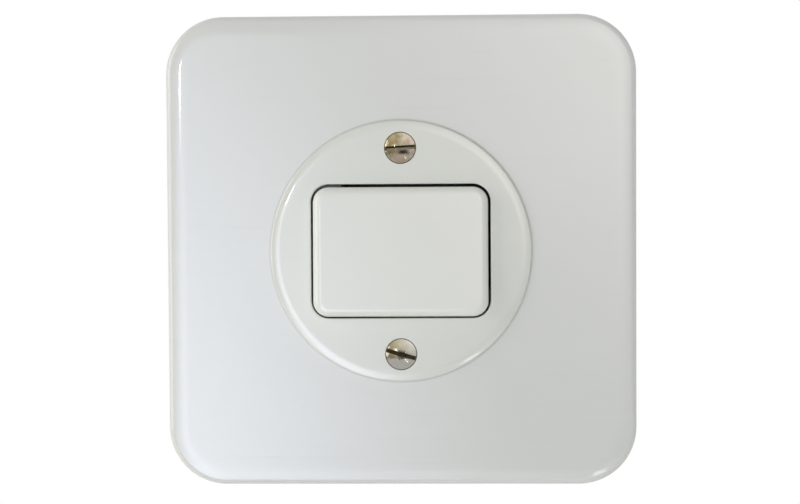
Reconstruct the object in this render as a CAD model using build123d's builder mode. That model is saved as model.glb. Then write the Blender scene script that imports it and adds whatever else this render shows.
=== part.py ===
from build123d import *
import os
from math import cos, radians, sin, tan

# A single rocker light switch on a pressed steel cover plate, in millimetres.
# X runs to the right, Z up, and the front faces -Y, with the wall plane at Y = 0.
# A height is a distance in front of the wall plane, so what lies inside the wall box has a negative height.
# The rocker is drawn switched off, with its upper edge pressed in.

# The most of a wall that a rounded edge may take
fillet_share = 0.9

# Cover plate, pressed from one sheet
plate_side = 116.0
plate_corner_radius = 14.3
plate_depth = 8.0
plate_bevel_width = 3.6
plate_bevel_drop = 0.55
plate_crown_radius = 20.0
plate_edge_radius = 1.8
plate_sheet = 1.2
plate_web = 1.45

# Front disc, with the rocker's opening and the skirt that reaches back through the plate
disc_cover = 1.6
disc_thickness = 1.1
disc_bevel_width = 1.7
disc_bevel_drop = 0.4
disc_break_radius = 3.0
disc_edge_radius = 0.75
opening_width = 44.2
opening_height = 33.0
opening_corner_radius = 4.4
opening_edge_radius = 0.3
skirt_wall = 1.9
skirt_clearance = 0.3

# Corner pads that the base screws run in, deep enough in the skirt to be out of sight round the rocker
corner_pad = 7.0
corner_pad_length = 3.5
corner_pad_clearance = 5.0

# Front screws: raised countersunk, slotted
screw_head_radius = 3.75
screw_head_raise = 1.0
screw_head_land = 0.15
countersink_angle = 90.0
screw_shank_radius = 1.95
screw_length = 9.6
screw_slot_width = 1.0
screw_slot_depth = 1.5
screw_mouth_clearance = 0.2
screw_hole_clearance = 0.3
screw_thread_clearance = 0.05
screw_boss_radius = 5.0
screw_boss_clearance = 0.25
screw_boss_relief = 0.1
top_slot_turn = 3.5
bottom_slot_turn = -16.0

# Rocker
rocker_proud = 3.3
rocker_gap = 0.58
rocker_skirt = 9.3
rocker_wall = 1.8
rocker_edge_radius = 2.0
rocker_draft = 1.0
rocker_throw = 4.0
rib_thickness = 1.2
rib_depth = 1.4

# Pin that the rocker turns on, pressed through its stem, and the two pillars that carry it
pin_drop = 2.8
pin_radius = 1.2
pin_overhang = 0.6
pin_end_chamfer = 0.25
pin_press_clearance = 0.02
pin_running_clearance = 0.05
pillar_inner = 8.0
pillar_thickness = 3.0
pillar_depth = 5.0
pillar_root_depth = 11.0
pillar_root_height = 10.0

# Spring plunger in the rocker's stem, measured from the pin's line
stem_radius = 3.0
stem_reach = 12.5
stem_bore_depth = 10.0
plunger_reach = 16.5
plunger_radius = 1.5
plunger_tip_radius = 1.3
plunger_length = 7.0
plunger_spigot_radius = 0.8
plunger_spigot_length = 2.5
plunger_clearance = 0.1
plunger_to_blade = 0.05

# Coil spring behind the plunger
spring_wire_radius = 0.17
spring_clearance = 0.12
spring_end_gap = 0.1
spring_turns = 5

# See-saw blade and its cradle
blade_sheet = 0.8
blade_width = 5.0
blade_tail = 7.5
blade_swing = 20.0
blade_tab_width = 1.6
blade_tab_overhang = 0.5
tail_bar_width = 12.0
tail_bar_depth = 2.0
cradle_clearance = 0.3
cradle_sheet = 0.9
cradle_half_depth = 1.8
cradle_lip = 0.75
notch_clearance = 0.1

# Contact tips and strips
tip_radius = 1.7
tip_height = 0.8
tip_dome_radius = 6.0
tip_rivet_radius = 0.8
tip_rivet_head_radius = 1.3
tip_rivet_head_height = 0.35
rivet_clearance = 0.02
fixed_tip_radius = 1.9
fixed_tip_height = 0.8
fixed_tip_chamfer = 0.2
contact_clearance = 0.1
tip_to_spigot = 0.2
strip_sheet = 0.8
strip_width = 7.0
strip_end_margin = 2.3

# Terminal blocks behind the shelf
terminal_width = 8.0
terminal_height = 9.0
terminal_depth = 8.5
terminal_inset = 0.65
terminal_clearance = 0.2
terminal_edge_chamfer = 0.4
wire_bore_radius = 1.8
wire_bore_depth = 6.5
spigot_offset = 1.9
spigot_radius = 1.5
spigot_head_radius = 1.9
spigot_head_height = 0.6
spigot_clearance = 0.1

# Base moulding
shelf_thickness = 2.0
base_tail = 0.3
barrier_thickness = 1.4
stop_clearance = 0.1
stop_length = 2.4
stop_inset = 0.9

# Small cheese-head screws
small_slot_share = 0.5
terminal_screw_radius = 1.65
terminal_screw_head_radius = 2.8
terminal_screw_head_height = 1.6
terminal_screw_backed_out = 0.5
terminal_screw_tip_inset = 0.1
terminal_slot_width = 0.8
base_screw_radius = 1.45
base_screw_head_radius = 2.6
base_screw_head_height = 1.9
base_screw_tip_inset = 0.8
base_slot_width = 0.8
earth_screw_radius = 1.7
earth_screw_head_radius = 3.0
earth_screw_head_height = 2.2
earth_slot_width = 0.9
earth_tip_inset = 0.3
small_thread_clearance = 0.05
small_hole_clearance = 0.2

# Yoke, a strap bent back to the wall plane at both ends
yoke_sheet = 1.5
yoke_edge_margin = 1.0
yoke_body_height = 62.0
yoke_corner_radius = 8.0
yoke_strap_width = 30.0
yoke_foot_reach = 6.25
yoke_foot_corner_radius = 5.0
yoke_joggle_start = 32.5
yoke_joggle_run = 3.0
yoke_bend_radius = 1.6
yoke_collar_wall = 1.1
yoke_collar_length = 1.5
box_screw_spacing = 83.5
box_hole_radius = 2.25
earth_margin = 0.8
earth_washer_side = 8.0
earth_washer_thickness = 1.0

# Heights that follow from the sizes above
plate_inner = plate_depth - plate_sheet
disc_front = plate_depth + disc_thickness
pivot_height = disc_front - pin_drop
yoke_rear = plate_inner - yoke_sheet
rest_tilt = -rocker_throw / 2
blade_tilt = blade_swing / 2
fulcrum_height = pivot_height - plunger_reach - plunger_to_blade - blade_sheet / 2

# Where the domed tip closes on the fixed one, beside the terminal's spigot: the blade's arm is as long
# as puts the centre of the dome's sphere straight in front of that place
terminal_z = opening_height / 2 - terminal_inset - terminal_height / 2
spigot_z = terminal_z + spigot_offset
touch_z = spigot_z - spigot_head_radius - fixed_tip_radius - tip_to_spigot
dome_centre = tip_dome_radius - blade_sheet / 2 - tip_height
swing = radians(blade_swing / 2)
blade_arm = (touch_z - dome_centre * sin(swing)) / cos(swing)
touch_height = fulcrum_height + dome_centre * cos(swing) - blade_arm * sin(swing) - tip_dome_radius

fixed_tip_front = touch_height - contact_clearance
strip_front = fixed_tip_front - fixed_tip_height
shelf_front = strip_front - strip_sheet
shelf_rear = shelf_front - shelf_thickness
terminal_rear = shelf_rear - terminal_depth
base_rear = terminal_rear - base_tail
stop_front = fulcrum_height - blade_tail * sin(swing) - blade_sheet / 2 * cos(swing) - stop_clearance

# The rocker's face and the end of its skirt, measured from the pin's line.
# The face sits a little below that line, so that it is central in the opening when switched off.
face_reach = disc_front + rocker_proud - pivot_height
face_rise = face_reach * sin(radians(rest_tilt))
skirt_end = face_reach - rocker_skirt

# Widths and places that follow
skirt_width = opening_width + 2 * skirt_wall
skirt_height = opening_height + 2 * skirt_wall
skirt_corner_radius = opening_corner_radius + skirt_wall
passage_width = skirt_width + 2 * skirt_clearance
passage_height = skirt_height + 2 * skirt_clearance
passage_corner_radius = skirt_corner_radius + skirt_clearance
boss_passage_radius = screw_boss_radius + screw_boss_clearance
screw_spacing = passage_height + 2 * (plate_web + boss_passage_radius)
disc_diameter = screw_spacing + 2 * (boss_passage_radius + disc_cover)
rocker_width = opening_width - 2 * rocker_gap
rocker_height = opening_height - 2 * rocker_gap
rocker_corner_radius = opening_corner_radius - rocker_gap
pillar_outer = pillar_inner + pillar_thickness
pin_reach = pillar_outer + pin_overhang
skirt_dip = rocker_height / 2 * sin(radians(rocker_throw / 2))
pad_front = pivot_height + skirt_end - skirt_dip - corner_pad_clearance
skirt_reach = corner_pad_length - pad_front
base_screw_tip = pad_front - base_screw_tip_inset
pad_x = opening_width / 2 - corner_pad / 2
pad_z = opening_height / 2 - corner_pad / 2
pad_places = [(-pad_x, pad_z), (pad_x, -pad_z)]
strip_end = spigot_z + strip_end_margin
cradle_inner = blade_width / 2 + cradle_clearance
cradle_outer = cradle_inner + cradle_sheet
notch_radius = ((blade_tab_width / 2) ** 2 + (blade_sheet / 2) ** 2) ** 0.5 + notch_clearance
bore_radius = plunger_radius + plunger_clearance
screw_hole_radius = screw_shank_radius + screw_hole_clearance
earth_offset = passage_width / 2 + earth_margin + earth_washer_side / 2
yoke_width = 2 * (earth_offset + earth_washer_side / 2 + yoke_edge_margin)


def level(height):
    """A plane that faces the room, at a height in front of the wall, with its own Y along Z."""
    return Plane.XZ.offset(height)


rocker_plane = level(pivot_height).rotated((rest_tilt, 0, 0))
blade_plane = level(fulcrum_height).rotated((blade_tilt, 0, 0))


def cheese_head_screw(seat, head_radius, head_height, shank_radius, shank_length, slot_width):
    """A slotted screw whose head stands on the seat plane and whose shank runs back from it."""
    with BuildPart() as screw:
        with BuildSketch(seat):
            Circle(head_radius)
        extrude(amount=head_height)
        with BuildSketch(seat):
            Circle(shank_radius)
        extrude(amount=-shank_length)
        with BuildSketch(seat.offset(head_height)):
            Rectangle(2 * (head_radius + slot_width), slot_width)
        extrude(amount=-head_height * small_slot_share, mode=Mode.SUBTRACT)
    return screw.part


os.makedirs("parts", exist_ok=True)

# Cover plate: a shallow pressed tray with a crowned edge, a passage for the skirt and two for the bosses
with BuildPart() as cover_plate:
    with BuildSketch(level(0)):
        RectangleRounded(plate_side, plate_side, plate_corner_radius)
    extrude(amount=plate_depth)
    plate_front = cover_plate.faces().sort_by(Axis.Y)[0]
    chamfer(plate_front.edges(), plate_bevel_width, plate_bevel_drop, reference=plate_front)
    fillet(cover_plate.faces().sort_by(Axis.Y)[0].edges(), plate_crown_radius)
    wall_tops = cover_plate.edges().filter_by(Plane.XZ).group_by(Axis.Y)[-2]
    fillet(wall_tops, min(plate_edge_radius, fillet_share * (plate_depth - plate_bevel_drop)))
    offset(amount=-plate_sheet, openings=cover_plate.faces().sort_by(Axis.Y)[-1])
    with BuildSketch(level(0)):
        RectangleRounded(passage_width, passage_height, passage_corner_radius)
        with GridLocations(0, screw_spacing, 1, 2):
            Circle(boss_passage_radius)
    extrude(amount=plate_depth, mode=Mode.SUBTRACT)
cover_plate.part.label = "cover_plate"
export_step(cover_plate.part, "parts/cover_plate.step")

# Front disc: a thin flange with a bevelled rim, two bosses through the plate, and a skirt with corner pads
with BuildPart() as front_disc:
    with BuildSketch(level(plate_depth)):
        Circle(disc_diameter / 2)
    extrude(amount=disc_thickness)
    rim = front_disc.edges().filter_by(GeomType.CIRCLE).sort_by(Axis.Y)[0]
    disc_face = front_disc.faces().sort_by(Axis.Y)[0]
    chamfer(rim, disc_bevel_width, disc_bevel_drop, reference=disc_face)
    fillet(front_disc.edges().filter_by(GeomType.CIRCLE).sort_by(Axis.Y)[0], disc_break_radius)
    outer_break = front_disc.edges().filter_by(GeomType.CIRCLE).sort_by(Axis.Y)[-2]
    fillet(outer_break, min(disc_edge_radius, fillet_share * (disc_thickness - disc_bevel_drop)))
    with BuildSketch(level(plate_depth)):
        with GridLocations(0, screw_spacing, 1, 2):
            Circle(screw_boss_radius)
    extrude(amount=screw_boss_relief - plate_sheet)
    with BuildSketch(level(-skirt_reach)):
        RectangleRounded(skirt_width, skirt_height, skirt_corner_radius)
    extrude(amount=skirt_reach + plate_depth)
    with BuildSketch(level(-skirt_reach)):
        RectangleRounded(opening_width, opening_height, opening_corner_radius)
    extrude(amount=skirt_reach + disc_front, mode=Mode.SUBTRACT)
    front_face = front_disc.faces().filter_by(GeomType.PLANE).sort_by(Axis.Y)[0]
    fillet(front_face.inner_wires()[0].edges(), opening_edge_radius)
    with BuildSketch(level(-skirt_reach)):
        with Locations(*pad_places):
            Rectangle(corner_pad, corner_pad)
    extrude(amount=skirt_reach + pad_front)
    with BuildSketch(level(-skirt_reach)):
        with Locations(*pad_places):
            Circle(base_screw_radius + small_thread_clearance)
    extrude(amount=skirt_reach + base_screw_tip + small_hole_clearance, mode=Mode.SUBTRACT)
    with Locations(level(disc_front)):
        with GridLocations(0, screw_spacing, 1, 2):
            CounterSinkHole(
                screw_hole_radius,
                screw_head_radius + screw_mouth_clearance,
                counter_sink_angle=countersink_angle,
            )
front_disc.part.label = "front_disc"
export_step(front_disc.part, "parts/front_disc.step")

# Front screws: each a turned profile about its own axis, with a slot left at the angle it was tightened to
with BuildPart() as front_screws:
    for side, slot_turn in ((1, top_slot_turn), (-1, bottom_slot_turn)):
        head_centre = (0, -disc_front, side * screw_spacing / 2)
        with BuildSketch(Plane(head_centre, x_dir=(1, 0, 0), z_dir=(0, 0, 1))):
            with BuildLine():
                cone_depth = (screw_head_radius - screw_shank_radius) / tan(radians(countersink_angle / 2))
                cone_end = screw_head_land + cone_depth
                Polyline(
                    (screw_head_radius, 0),
                    (screw_head_radius, screw_head_land),
                    (screw_shank_radius, cone_end),
                    (screw_shank_radius, screw_length),
                    (0, screw_length),
                    (0, -screw_head_raise),
                )
                dome_radius = (screw_head_radius**2 + screw_head_raise**2) / (2 * screw_head_raise)
                RadiusArc((0, -screw_head_raise), (screw_head_radius, 0), -dome_radius)
            make_face()
        revolve(axis=Axis(head_centre, (0, 1, 0)))
        with BuildSketch(level(disc_front + screw_head_raise)):
            with Locations((0, side * screw_spacing / 2)):
                slot_cut_length = 2 * (screw_head_radius + screw_slot_width)
                Rectangle(slot_cut_length, screw_slot_width, rotation=slot_turn)
        extrude(amount=-screw_slot_depth, mode=Mode.SUBTRACT)
front_screws.part.label = "front_screws"
export_step(front_screws.part, "parts/front_screws.step")

# Rocker: a drafted, ribbed cap with a stem, crossed by the pin and bored for the plunger and its spring
with BuildPart() as rocker:
    with BuildSketch(rocker_plane.offset(face_reach)):
        with Locations((0, face_rise)):
            RectangleRounded(rocker_width, rocker_height, rocker_corner_radius)
    extrude(amount=-rocker_skirt, taper=rocker_draft)
    fillet(rocker.faces().sort_by(Axis.Y)[0].edges(), min(rocker_edge_radius, fillet_share * rocker_skirt))
    with BuildSketch(rocker_plane.offset(skirt_end)):
        with Locations((0, face_rise)):
            RectangleRounded(
                rocker_width - 2 * rocker_wall,
                rocker_height - 2 * rocker_wall,
                rocker_corner_radius - rocker_wall / 2,
            )
    extrude(amount=rocker_skirt - rocker_wall, mode=Mode.SUBTRACT)
    with BuildSketch(rocker_plane.offset(face_reach - rocker_wall - rib_depth)):
        with Locations((0, face_rise)):
            Rectangle(rocker_width - rocker_wall, rib_thickness)
            Rectangle(rib_thickness, rocker_height - rocker_wall)
    extrude(amount=rib_depth)
    with BuildSketch(rocker_plane.offset(-stem_reach)):
        Circle(stem_radius)
    extrude(amount=stem_reach + face_reach - rocker_wall)
    with BuildSketch(rocker_plane.offset(-stem_reach)):
        Circle(bore_radius)
    extrude(amount=stem_bore_depth, mode=Mode.SUBTRACT)
    with BuildSketch(Plane.YZ.offset(-stem_radius)):
        with Locations((-pivot_height, 0)):
            Circle(pin_radius + pin_press_clearance)
    extrude(amount=2 * stem_radius, mode=Mode.SUBTRACT)
rocker.part.label = "rocker"
export_step(rocker.part, "parts/rocker.step")

# Pivot pin: a plain steel pin with chamfered ends
with BuildPart() as pivot_pin:
    with BuildSketch(Plane.YZ.offset(-pin_reach)):
        with Locations((-pivot_height, 0)):
            Circle(pin_radius)
    extrude(amount=2 * pin_reach)
    chamfer(pivot_pin.edges().filter_by(GeomType.CIRCLE), pin_end_chamfer)
pivot_pin.part.label = "pivot_pin"
export_step(pivot_pin.part, "parts/pivot_pin.step")

# Spring plunger: a pin with a rounded nose, and a spigot that the spring sits on
shoulder = plunger_length - plunger_reach
with BuildPart() as spring_plunger:
    with BuildSketch(rocker_plane.offset(-plunger_reach)):
        Circle(plunger_radius)
    extrude(amount=plunger_length)
    nose = spring_plunger.edges().filter_by(GeomType.CIRCLE).sort_by(Axis.Y)[-1]
    fillet(nose, min(plunger_tip_radius, fillet_share * plunger_radius))
    with BuildSketch(rocker_plane.offset(shoulder)):
        Circle(plunger_spigot_radius)
    extrude(amount=plunger_spigot_length)
spring_plunger.part.label = "spring_plunger"
export_step(spring_plunger.part, "parts/spring_plunger.step")

# Rocker spring: an open coil between the plunger's shoulder and the end of the stem's bore
spring_radius = bore_radius - spring_clearance - spring_wire_radius
spring_start = shoulder + spring_end_gap + spring_wire_radius
spring_height = stem_bore_depth - stem_reach - spring_end_gap - spring_wire_radius - spring_start
with BuildPart() as rocker_spring:
    with BuildLine():
        coil = Helix(
            pitch=spring_height / spring_turns,
            height=spring_height,
            radius=spring_radius,
            center=rocker_plane.from_local_coords((0, 0, spring_start)),
            direction=rocker_plane.z_dir,
        )
    with BuildSketch(Plane(coil @ 0, z_dir=coil % 0)):
        Circle(spring_wire_radius)
    sweep(is_frenet=True)
rocker_spring.part.label = "rocker_spring"
export_step(rocker_spring.part, "parts/rocker_spring.step")

# Moving contact: a stamped see-saw blade with two side tabs to rock on and a cross bar at its tail
with BuildPart() as moving_contact:
    with BuildSketch(blade_plane.offset(-blade_sheet / 2)):
        with Locations((0, -blade_tail)):
            Rectangle(blade_width, blade_tail + blade_arm, align=(Align.CENTER, Align.MIN))
            Rectangle(tail_bar_width, tail_bar_depth, align=(Align.CENTER, Align.MIN))
        with Locations((0, blade_arm)):
            Circle(blade_width / 2)
        Rectangle(2 * (cradle_outer + blade_tab_overhang), blade_tab_width)
        with Locations((0, blade_arm)):
            Circle(tip_rivet_radius + rivet_clearance, mode=Mode.SUBTRACT)
    extrude(amount=blade_sheet)
moving_contact.part.label = "moving_contact"
export_step(moving_contact.part, "parts/moving_contact.step")

# Moving contact tip: a domed silver rivet through the blade
tip_centre = blade_plane.from_local_coords((0, blade_arm, 0))
with BuildPart() as moving_contact_tip:
    with BuildSketch(Plane(tip_centre, x_dir=(1, 0, 0), z_dir=blade_plane.y_dir)):
        with BuildLine():
            rear_face = blade_sheet / 2
            dome_apex = rear_face + tip_height
            dome_drop = tip_dome_radius - (tip_dome_radius**2 - tip_radius**2) ** 0.5
            Polyline(
                (0, dome_apex),
                (0, -rear_face - tip_rivet_head_height),
                (tip_rivet_head_radius, -rear_face - tip_rivet_head_height),
                (tip_rivet_head_radius, -rear_face),
                (tip_rivet_radius, -rear_face),
                (tip_rivet_radius, rear_face),
                (tip_radius, rear_face),
                (tip_radius, dome_apex - dome_drop),
            )
            RadiusArc((tip_radius, dome_apex - dome_drop), (0, dome_apex), -tip_dome_radius)
        make_face()
    revolve(axis=Axis(tip_centre, blade_plane.z_dir))
moving_contact_tip.part.label = "moving_contact_tip"
export_step(moving_contact_tip.part, "parts/moving_contact_tip.step")

# Common contact: a strip with two cheeks turned up beside the blade, notched for its tabs
with BuildPart() as common_contact:
    with BuildSketch(level(shelf_front)):
        with Locations((0, cradle_half_depth)):
            Rectangle(2 * cradle_outer, cradle_half_depth + strip_end, align=(Align.CENTER, Align.MAX))
        with Locations((0, -spigot_z)):
            Circle(spigot_radius + spigot_clearance, mode=Mode.SUBTRACT)
    extrude(amount=strip_sheet)
    with BuildSketch(level(strip_front)):
        with GridLocations(2 * cradle_inner + cradle_sheet, 0, 2, 1):
            Rectangle(cradle_sheet, 2 * cradle_half_depth)
    extrude(amount=fulcrum_height + cradle_lip - strip_front)
    with BuildSketch(Plane.YZ.offset(-cradle_outer)):
        with Locations((-fulcrum_height, 0)):
            Circle(notch_radius)
            Rectangle(2 * cradle_lip, 2 * notch_radius, align=(Align.MAX, Align.CENTER))
    extrude(amount=2 * cradle_outer, mode=Mode.SUBTRACT)
common_contact.part.label = "common_contact"
export_step(common_contact.part, "parts/common_contact.step")

# Switched contact: a short strip from under the fixed tip to its terminal
with BuildPart() as switched_contact:
    with BuildSketch(level(shelf_front)):
        with Locations((0, strip_end)):
            strip_length = strip_end - touch_z + strip_end_margin
            Rectangle(strip_width, strip_length, align=(Align.CENTER, Align.MAX))
        with Locations((0, spigot_z)):
            Circle(spigot_radius + spigot_clearance, mode=Mode.SUBTRACT)
        with Locations((0, touch_z)):
            Circle(tip_rivet_radius + rivet_clearance, mode=Mode.SUBTRACT)
    extrude(amount=strip_sheet)
switched_contact.part.label = "switched_contact"
export_step(switched_contact.part, "parts/switched_contact.step")

# Fixed contact tip: a flat silver button riveted into the strip
with BuildPart() as fixed_contact_tip:
    with BuildSketch(level(strip_front)):
        with Locations((0, touch_z)):
            Circle(fixed_tip_radius)
    extrude(amount=fixed_tip_height)
    chamfer(fixed_contact_tip.faces().sort_by(Axis.Y)[0].edges(), fixed_tip_chamfer)
    with BuildSketch(level(shelf_front)):
        with Locations((0, touch_z)):
            Circle(tip_rivet_radius)
    extrude(amount=strip_sheet)
fixed_contact_tip.part.label = "fixed_contact_tip"
export_step(fixed_contact_tip.part, "parts/fixed_contact_tip.step")


def terminal_block(side):
    """A brass block with a wire bore from the rear, a screw hole from outside and a riveted spigot."""
    with BuildPart() as block:
        with BuildSketch(level(terminal_rear)):
            with Locations((0, side * terminal_z)):
                Rectangle(terminal_width, terminal_height)
        extrude(amount=terminal_depth)
        chamfer(block.edges().filter_by(Axis.Y), terminal_edge_chamfer)
        with BuildSketch(level(shelf_rear)):
            with Locations((0, side * spigot_z)):
                Circle(spigot_radius)
        extrude(amount=shelf_thickness + strip_sheet)
        with BuildSketch(level(strip_front)):
            with Locations((0, side * spigot_z)):
                Circle(spigot_head_radius)
        extrude(amount=spigot_head_height)
        with BuildSketch(level(terminal_rear)):
            with Locations((0, side * terminal_z)):
                Circle(wire_bore_radius)
        extrude(amount=wire_bore_depth, mode=Mode.SUBTRACT)
        screw_axis_y = -terminal_rear - wire_bore_depth / 2
        with BuildSketch(Plane((0, screw_axis_y, side * terminal_z), z_dir=(0, 0, side))):
            Circle(terminal_screw_radius + small_thread_clearance)
        extrude(amount=terminal_height, mode=Mode.SUBTRACT)
    return block.part


upper_block = terminal_block(1)
lower_block = terminal_block(-1)

# Switched terminal, above
with BuildPart() as switched_terminal:
    add(upper_block)
switched_terminal.part.label = "switched_terminal"
export_step(switched_terminal.part, "parts/switched_terminal.step")

# Common terminal, below
with BuildPart() as common_terminal:
    add(lower_block)
common_terminal.part.label = "common_terminal"
export_step(common_terminal.part, "parts/common_terminal.step")

# Terminal screws: backed out, so that the wire holes are open
terminal_screw_solids = []
for side in (1, -1):
    seat_z = side * (terminal_z + terminal_height / 2 + terminal_screw_backed_out)
    terminal_screw_solids.append(
        cheese_head_screw(
            Plane((0, -terminal_rear - wire_bore_depth / 2, seat_z), x_dir=(1, 0, 0), z_dir=(0, 0, side)),
            terminal_screw_head_radius,
            terminal_screw_head_height,
            terminal_screw_radius,
            terminal_height / 2 + terminal_screw_backed_out - wire_bore_radius - terminal_screw_tip_inset,
            terminal_slot_width,
        )
    )
with BuildPart() as terminal_screws:
    add(terminal_screw_solids)
terminal_screws.part.label = "terminal_screws"
export_step(terminal_screws.part, "parts/terminal_screws.step")

# Switch base: an H-section moulding, the contact chamber in front of its shelf and the terminal bays behind
bay_half_width = terminal_width / 2 + terminal_clearance
bay_inner_z = terminal_z - terminal_height / 2 - terminal_clearance
with BuildPart() as switch_base:
    with BuildSketch(level(base_rear)):
        RectangleRounded(skirt_width, skirt_height, skirt_corner_radius)
    extrude(amount=-skirt_reach - base_rear)
    with BuildSketch(level(shelf_front)):
        RectangleRounded(opening_width, opening_height, opening_corner_radius)
    extrude(amount=-skirt_reach - shelf_front, mode=Mode.SUBTRACT)
    with BuildSketch(level(base_rear)):
        RectangleRounded(opening_width, opening_height, opening_corner_radius)
    extrude(amount=shelf_rear - base_rear, mode=Mode.SUBTRACT)
    with BuildSketch(level(base_rear)):
        with GridLocations(2 * bay_half_width + barrier_thickness, 0, 2, 1):
            Rectangle(barrier_thickness, opening_height)
        with GridLocations(0, 2 * bay_inner_z - barrier_thickness, 1, 2):
            Rectangle(2 * bay_half_width, barrier_thickness)
        Rectangle(
            2 * (bay_half_width + barrier_thickness),
            2 * (bay_inner_z - barrier_thickness),
            mode=Mode.SUBTRACT,
        )
    extrude(amount=shelf_rear - base_rear)
    with BuildSketch(level(base_rear)):
        with GridLocations(0, skirt_height, 1, 2):
            Rectangle(2 * bay_half_width, 2 * (skirt_wall + terminal_clearance))
    extrude(amount=shelf_rear - base_rear, mode=Mode.SUBTRACT)
    with BuildSketch(level(shelf_front)):
        with Locations(*pad_places):
            Rectangle(corner_pad, corner_pad)
    extrude(amount=-skirt_reach - shelf_front)
    with BuildSketch(level(shelf_rear)):
        with Locations(*pad_places):
            Circle(base_screw_radius + small_hole_clearance)
        with GridLocations(0, 2 * spigot_z, 1, 2):
            Circle(spigot_radius + spigot_clearance)
    extrude(amount=-skirt_reach - shelf_rear, mode=Mode.SUBTRACT)
    with BuildSketch(level(shelf_front)):
        stop_centre = blade_tail - tail_bar_depth / 2
        stop_outer = tail_bar_width / 2
        stop_width = stop_outer - cradle_outer - stop_inset
        with Locations((0, -stop_centre)):
            with GridLocations(2 * stop_outer - stop_width, 0, 2, 1):
                Rectangle(stop_width, stop_length)
    extrude(amount=stop_front - shelf_front)
    for pillar_side in (-pillar_outer, pillar_inner):
        with BuildSketch(Plane.YZ.offset(pillar_side)):
            with BuildLine():
                Polyline(
                    (-shelf_front, -pillar_root_depth / 2),
                    (-shelf_front, pillar_root_depth / 2),
                    (-shelf_front - pillar_root_height, pillar_depth / 2),
                    (-pivot_height, pillar_depth / 2),
                    (-pivot_height, -pillar_depth / 2),
                    (-shelf_front - pillar_root_height, -pillar_depth / 2),
                    close=True,
                )
            make_face()
            with Locations((-pivot_height, 0)):
                Circle(pillar_depth / 2)
                Circle(pin_radius + pin_running_clearance, mode=Mode.SUBTRACT)
        extrude(amount=pillar_thickness)
switch_base.part.label = "switch_base"
export_step(switch_base.part, "parts/switch_base.step")

# Base screws: from behind the shelf into the disc's corner pads
base_screw_solids = []
for pad_place in pad_places:
    base_screw_solids.append(
        cheese_head_screw(
            Plane((pad_place[0], -shelf_rear, pad_place[1]), x_dir=(1, 0, 0), z_dir=(0, 1, 0)),
            base_screw_head_radius,
            base_screw_head_height,
            base_screw_radius,
            base_screw_tip - shelf_rear,
            base_slot_width,
        )
    )
with BuildPart() as base_screws:
    add(base_screw_solids)
base_screws.part.label = "base_screws"
export_step(base_screws.part, "parts/base_screws.step")

# Yoke: a strap swept along its bent side view, trimmed to its outline, with collars at the tapped holes
foot_end = box_screw_spacing / 2 + yoke_foot_reach
body_line = -(plate_inner - yoke_sheet / 2)
foot_line = -yoke_sheet / 2
joggle_end = yoke_joggle_start + yoke_joggle_run
with BuildPart() as yoke:
    with BuildLine(Plane.YZ):
        strap_path = FilletPolyline(
            (foot_line, -foot_end),
            (foot_line, -joggle_end),
            (body_line, -yoke_joggle_start),
            (body_line, yoke_joggle_start),
            (foot_line, joggle_end),
            (foot_line, foot_end),
            radius=yoke_bend_radius,
        )
    with BuildSketch(Plane(strap_path @ 0, x_dir=(1, 0, 0), z_dir=strap_path % 0)):
        Rectangle(yoke_width, yoke_sheet)
    sweep()
    with BuildSketch(level(0)):
        RectangleRounded(yoke_width, yoke_body_height, yoke_corner_radius)
        RectangleRounded(yoke_strap_width, 2 * foot_end, yoke_foot_corner_radius)
    extrude(amount=plate_inner, mode=Mode.INTERSECT)
    with BuildSketch(level(yoke_rear)):
        with GridLocations(0, screw_spacing, 1, 2):
            Circle(screw_shank_radius + yoke_collar_wall)
        with Locations((-earth_offset, 0)):
            Circle(earth_screw_radius + yoke_collar_wall)
    extrude(amount=-yoke_collar_length)
    with BuildSketch(level(0)):
        RectangleRounded(passage_width, passage_height, passage_corner_radius)
        with GridLocations(0, screw_spacing, 1, 2):
            Circle(screw_shank_radius + screw_thread_clearance)
        with GridLocations(0, box_screw_spacing, 1, 2):
            Circle(box_hole_radius)
        with Locations((-earth_offset, 0)):
            Circle(earth_screw_radius + small_thread_clearance)
    extrude(amount=plate_inner, mode=Mode.SUBTRACT)
yoke.part.label = "yoke"
export_step(yoke.part, "parts/yoke.step")

# Earth clamp washer: square, against the collar
washer_front = yoke_rear - yoke_collar_length
washer_rear = washer_front - earth_washer_thickness
with BuildPart() as earth_clamp_washer:
    with BuildSketch(level(washer_rear)):
        with Locations((-earth_offset, 0)):
            Rectangle(earth_washer_side, earth_washer_side)
            Circle(earth_screw_radius + small_hole_clearance, mode=Mode.SUBTRACT)
    extrude(amount=earth_washer_thickness)
earth_clamp_washer.part.label = "earth_clamp_washer"
export_step(earth_clamp_washer.part, "parts/earth_clamp_washer.step")

# Earth screw: in from behind, its tip short of the plate
earth_screw_solid = cheese_head_screw(
    Plane((-earth_offset, -washer_rear, 0), x_dir=(1, 0, 0), z_dir=(0, 1, 0)),
    earth_screw_head_radius,
    earth_screw_head_height,
    earth_screw_radius,
    plate_inner - earth_tip_inset - washer_rear,
    earth_slot_width,
)
with BuildPart() as earth_screw:
    add(earth_screw_solid)
earth_screw.part.label = "earth_screw"
export_step(earth_screw.part, "parts/earth_screw.step")
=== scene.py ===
import logging
import math
from contextlib import contextmanager
from dataclasses import dataclass, field
from enum import Enum
from functools import partial
from typing import Any, Iterator, Sequence

import bmesh
import bpy
import numpy as np
from bpy.types import ID, Material, Mesh, Node, NodeSocket, NodeTree, Object
from mathutils import Matrix, Vector
from mathutils.geometry import tessellate_polygon


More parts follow.
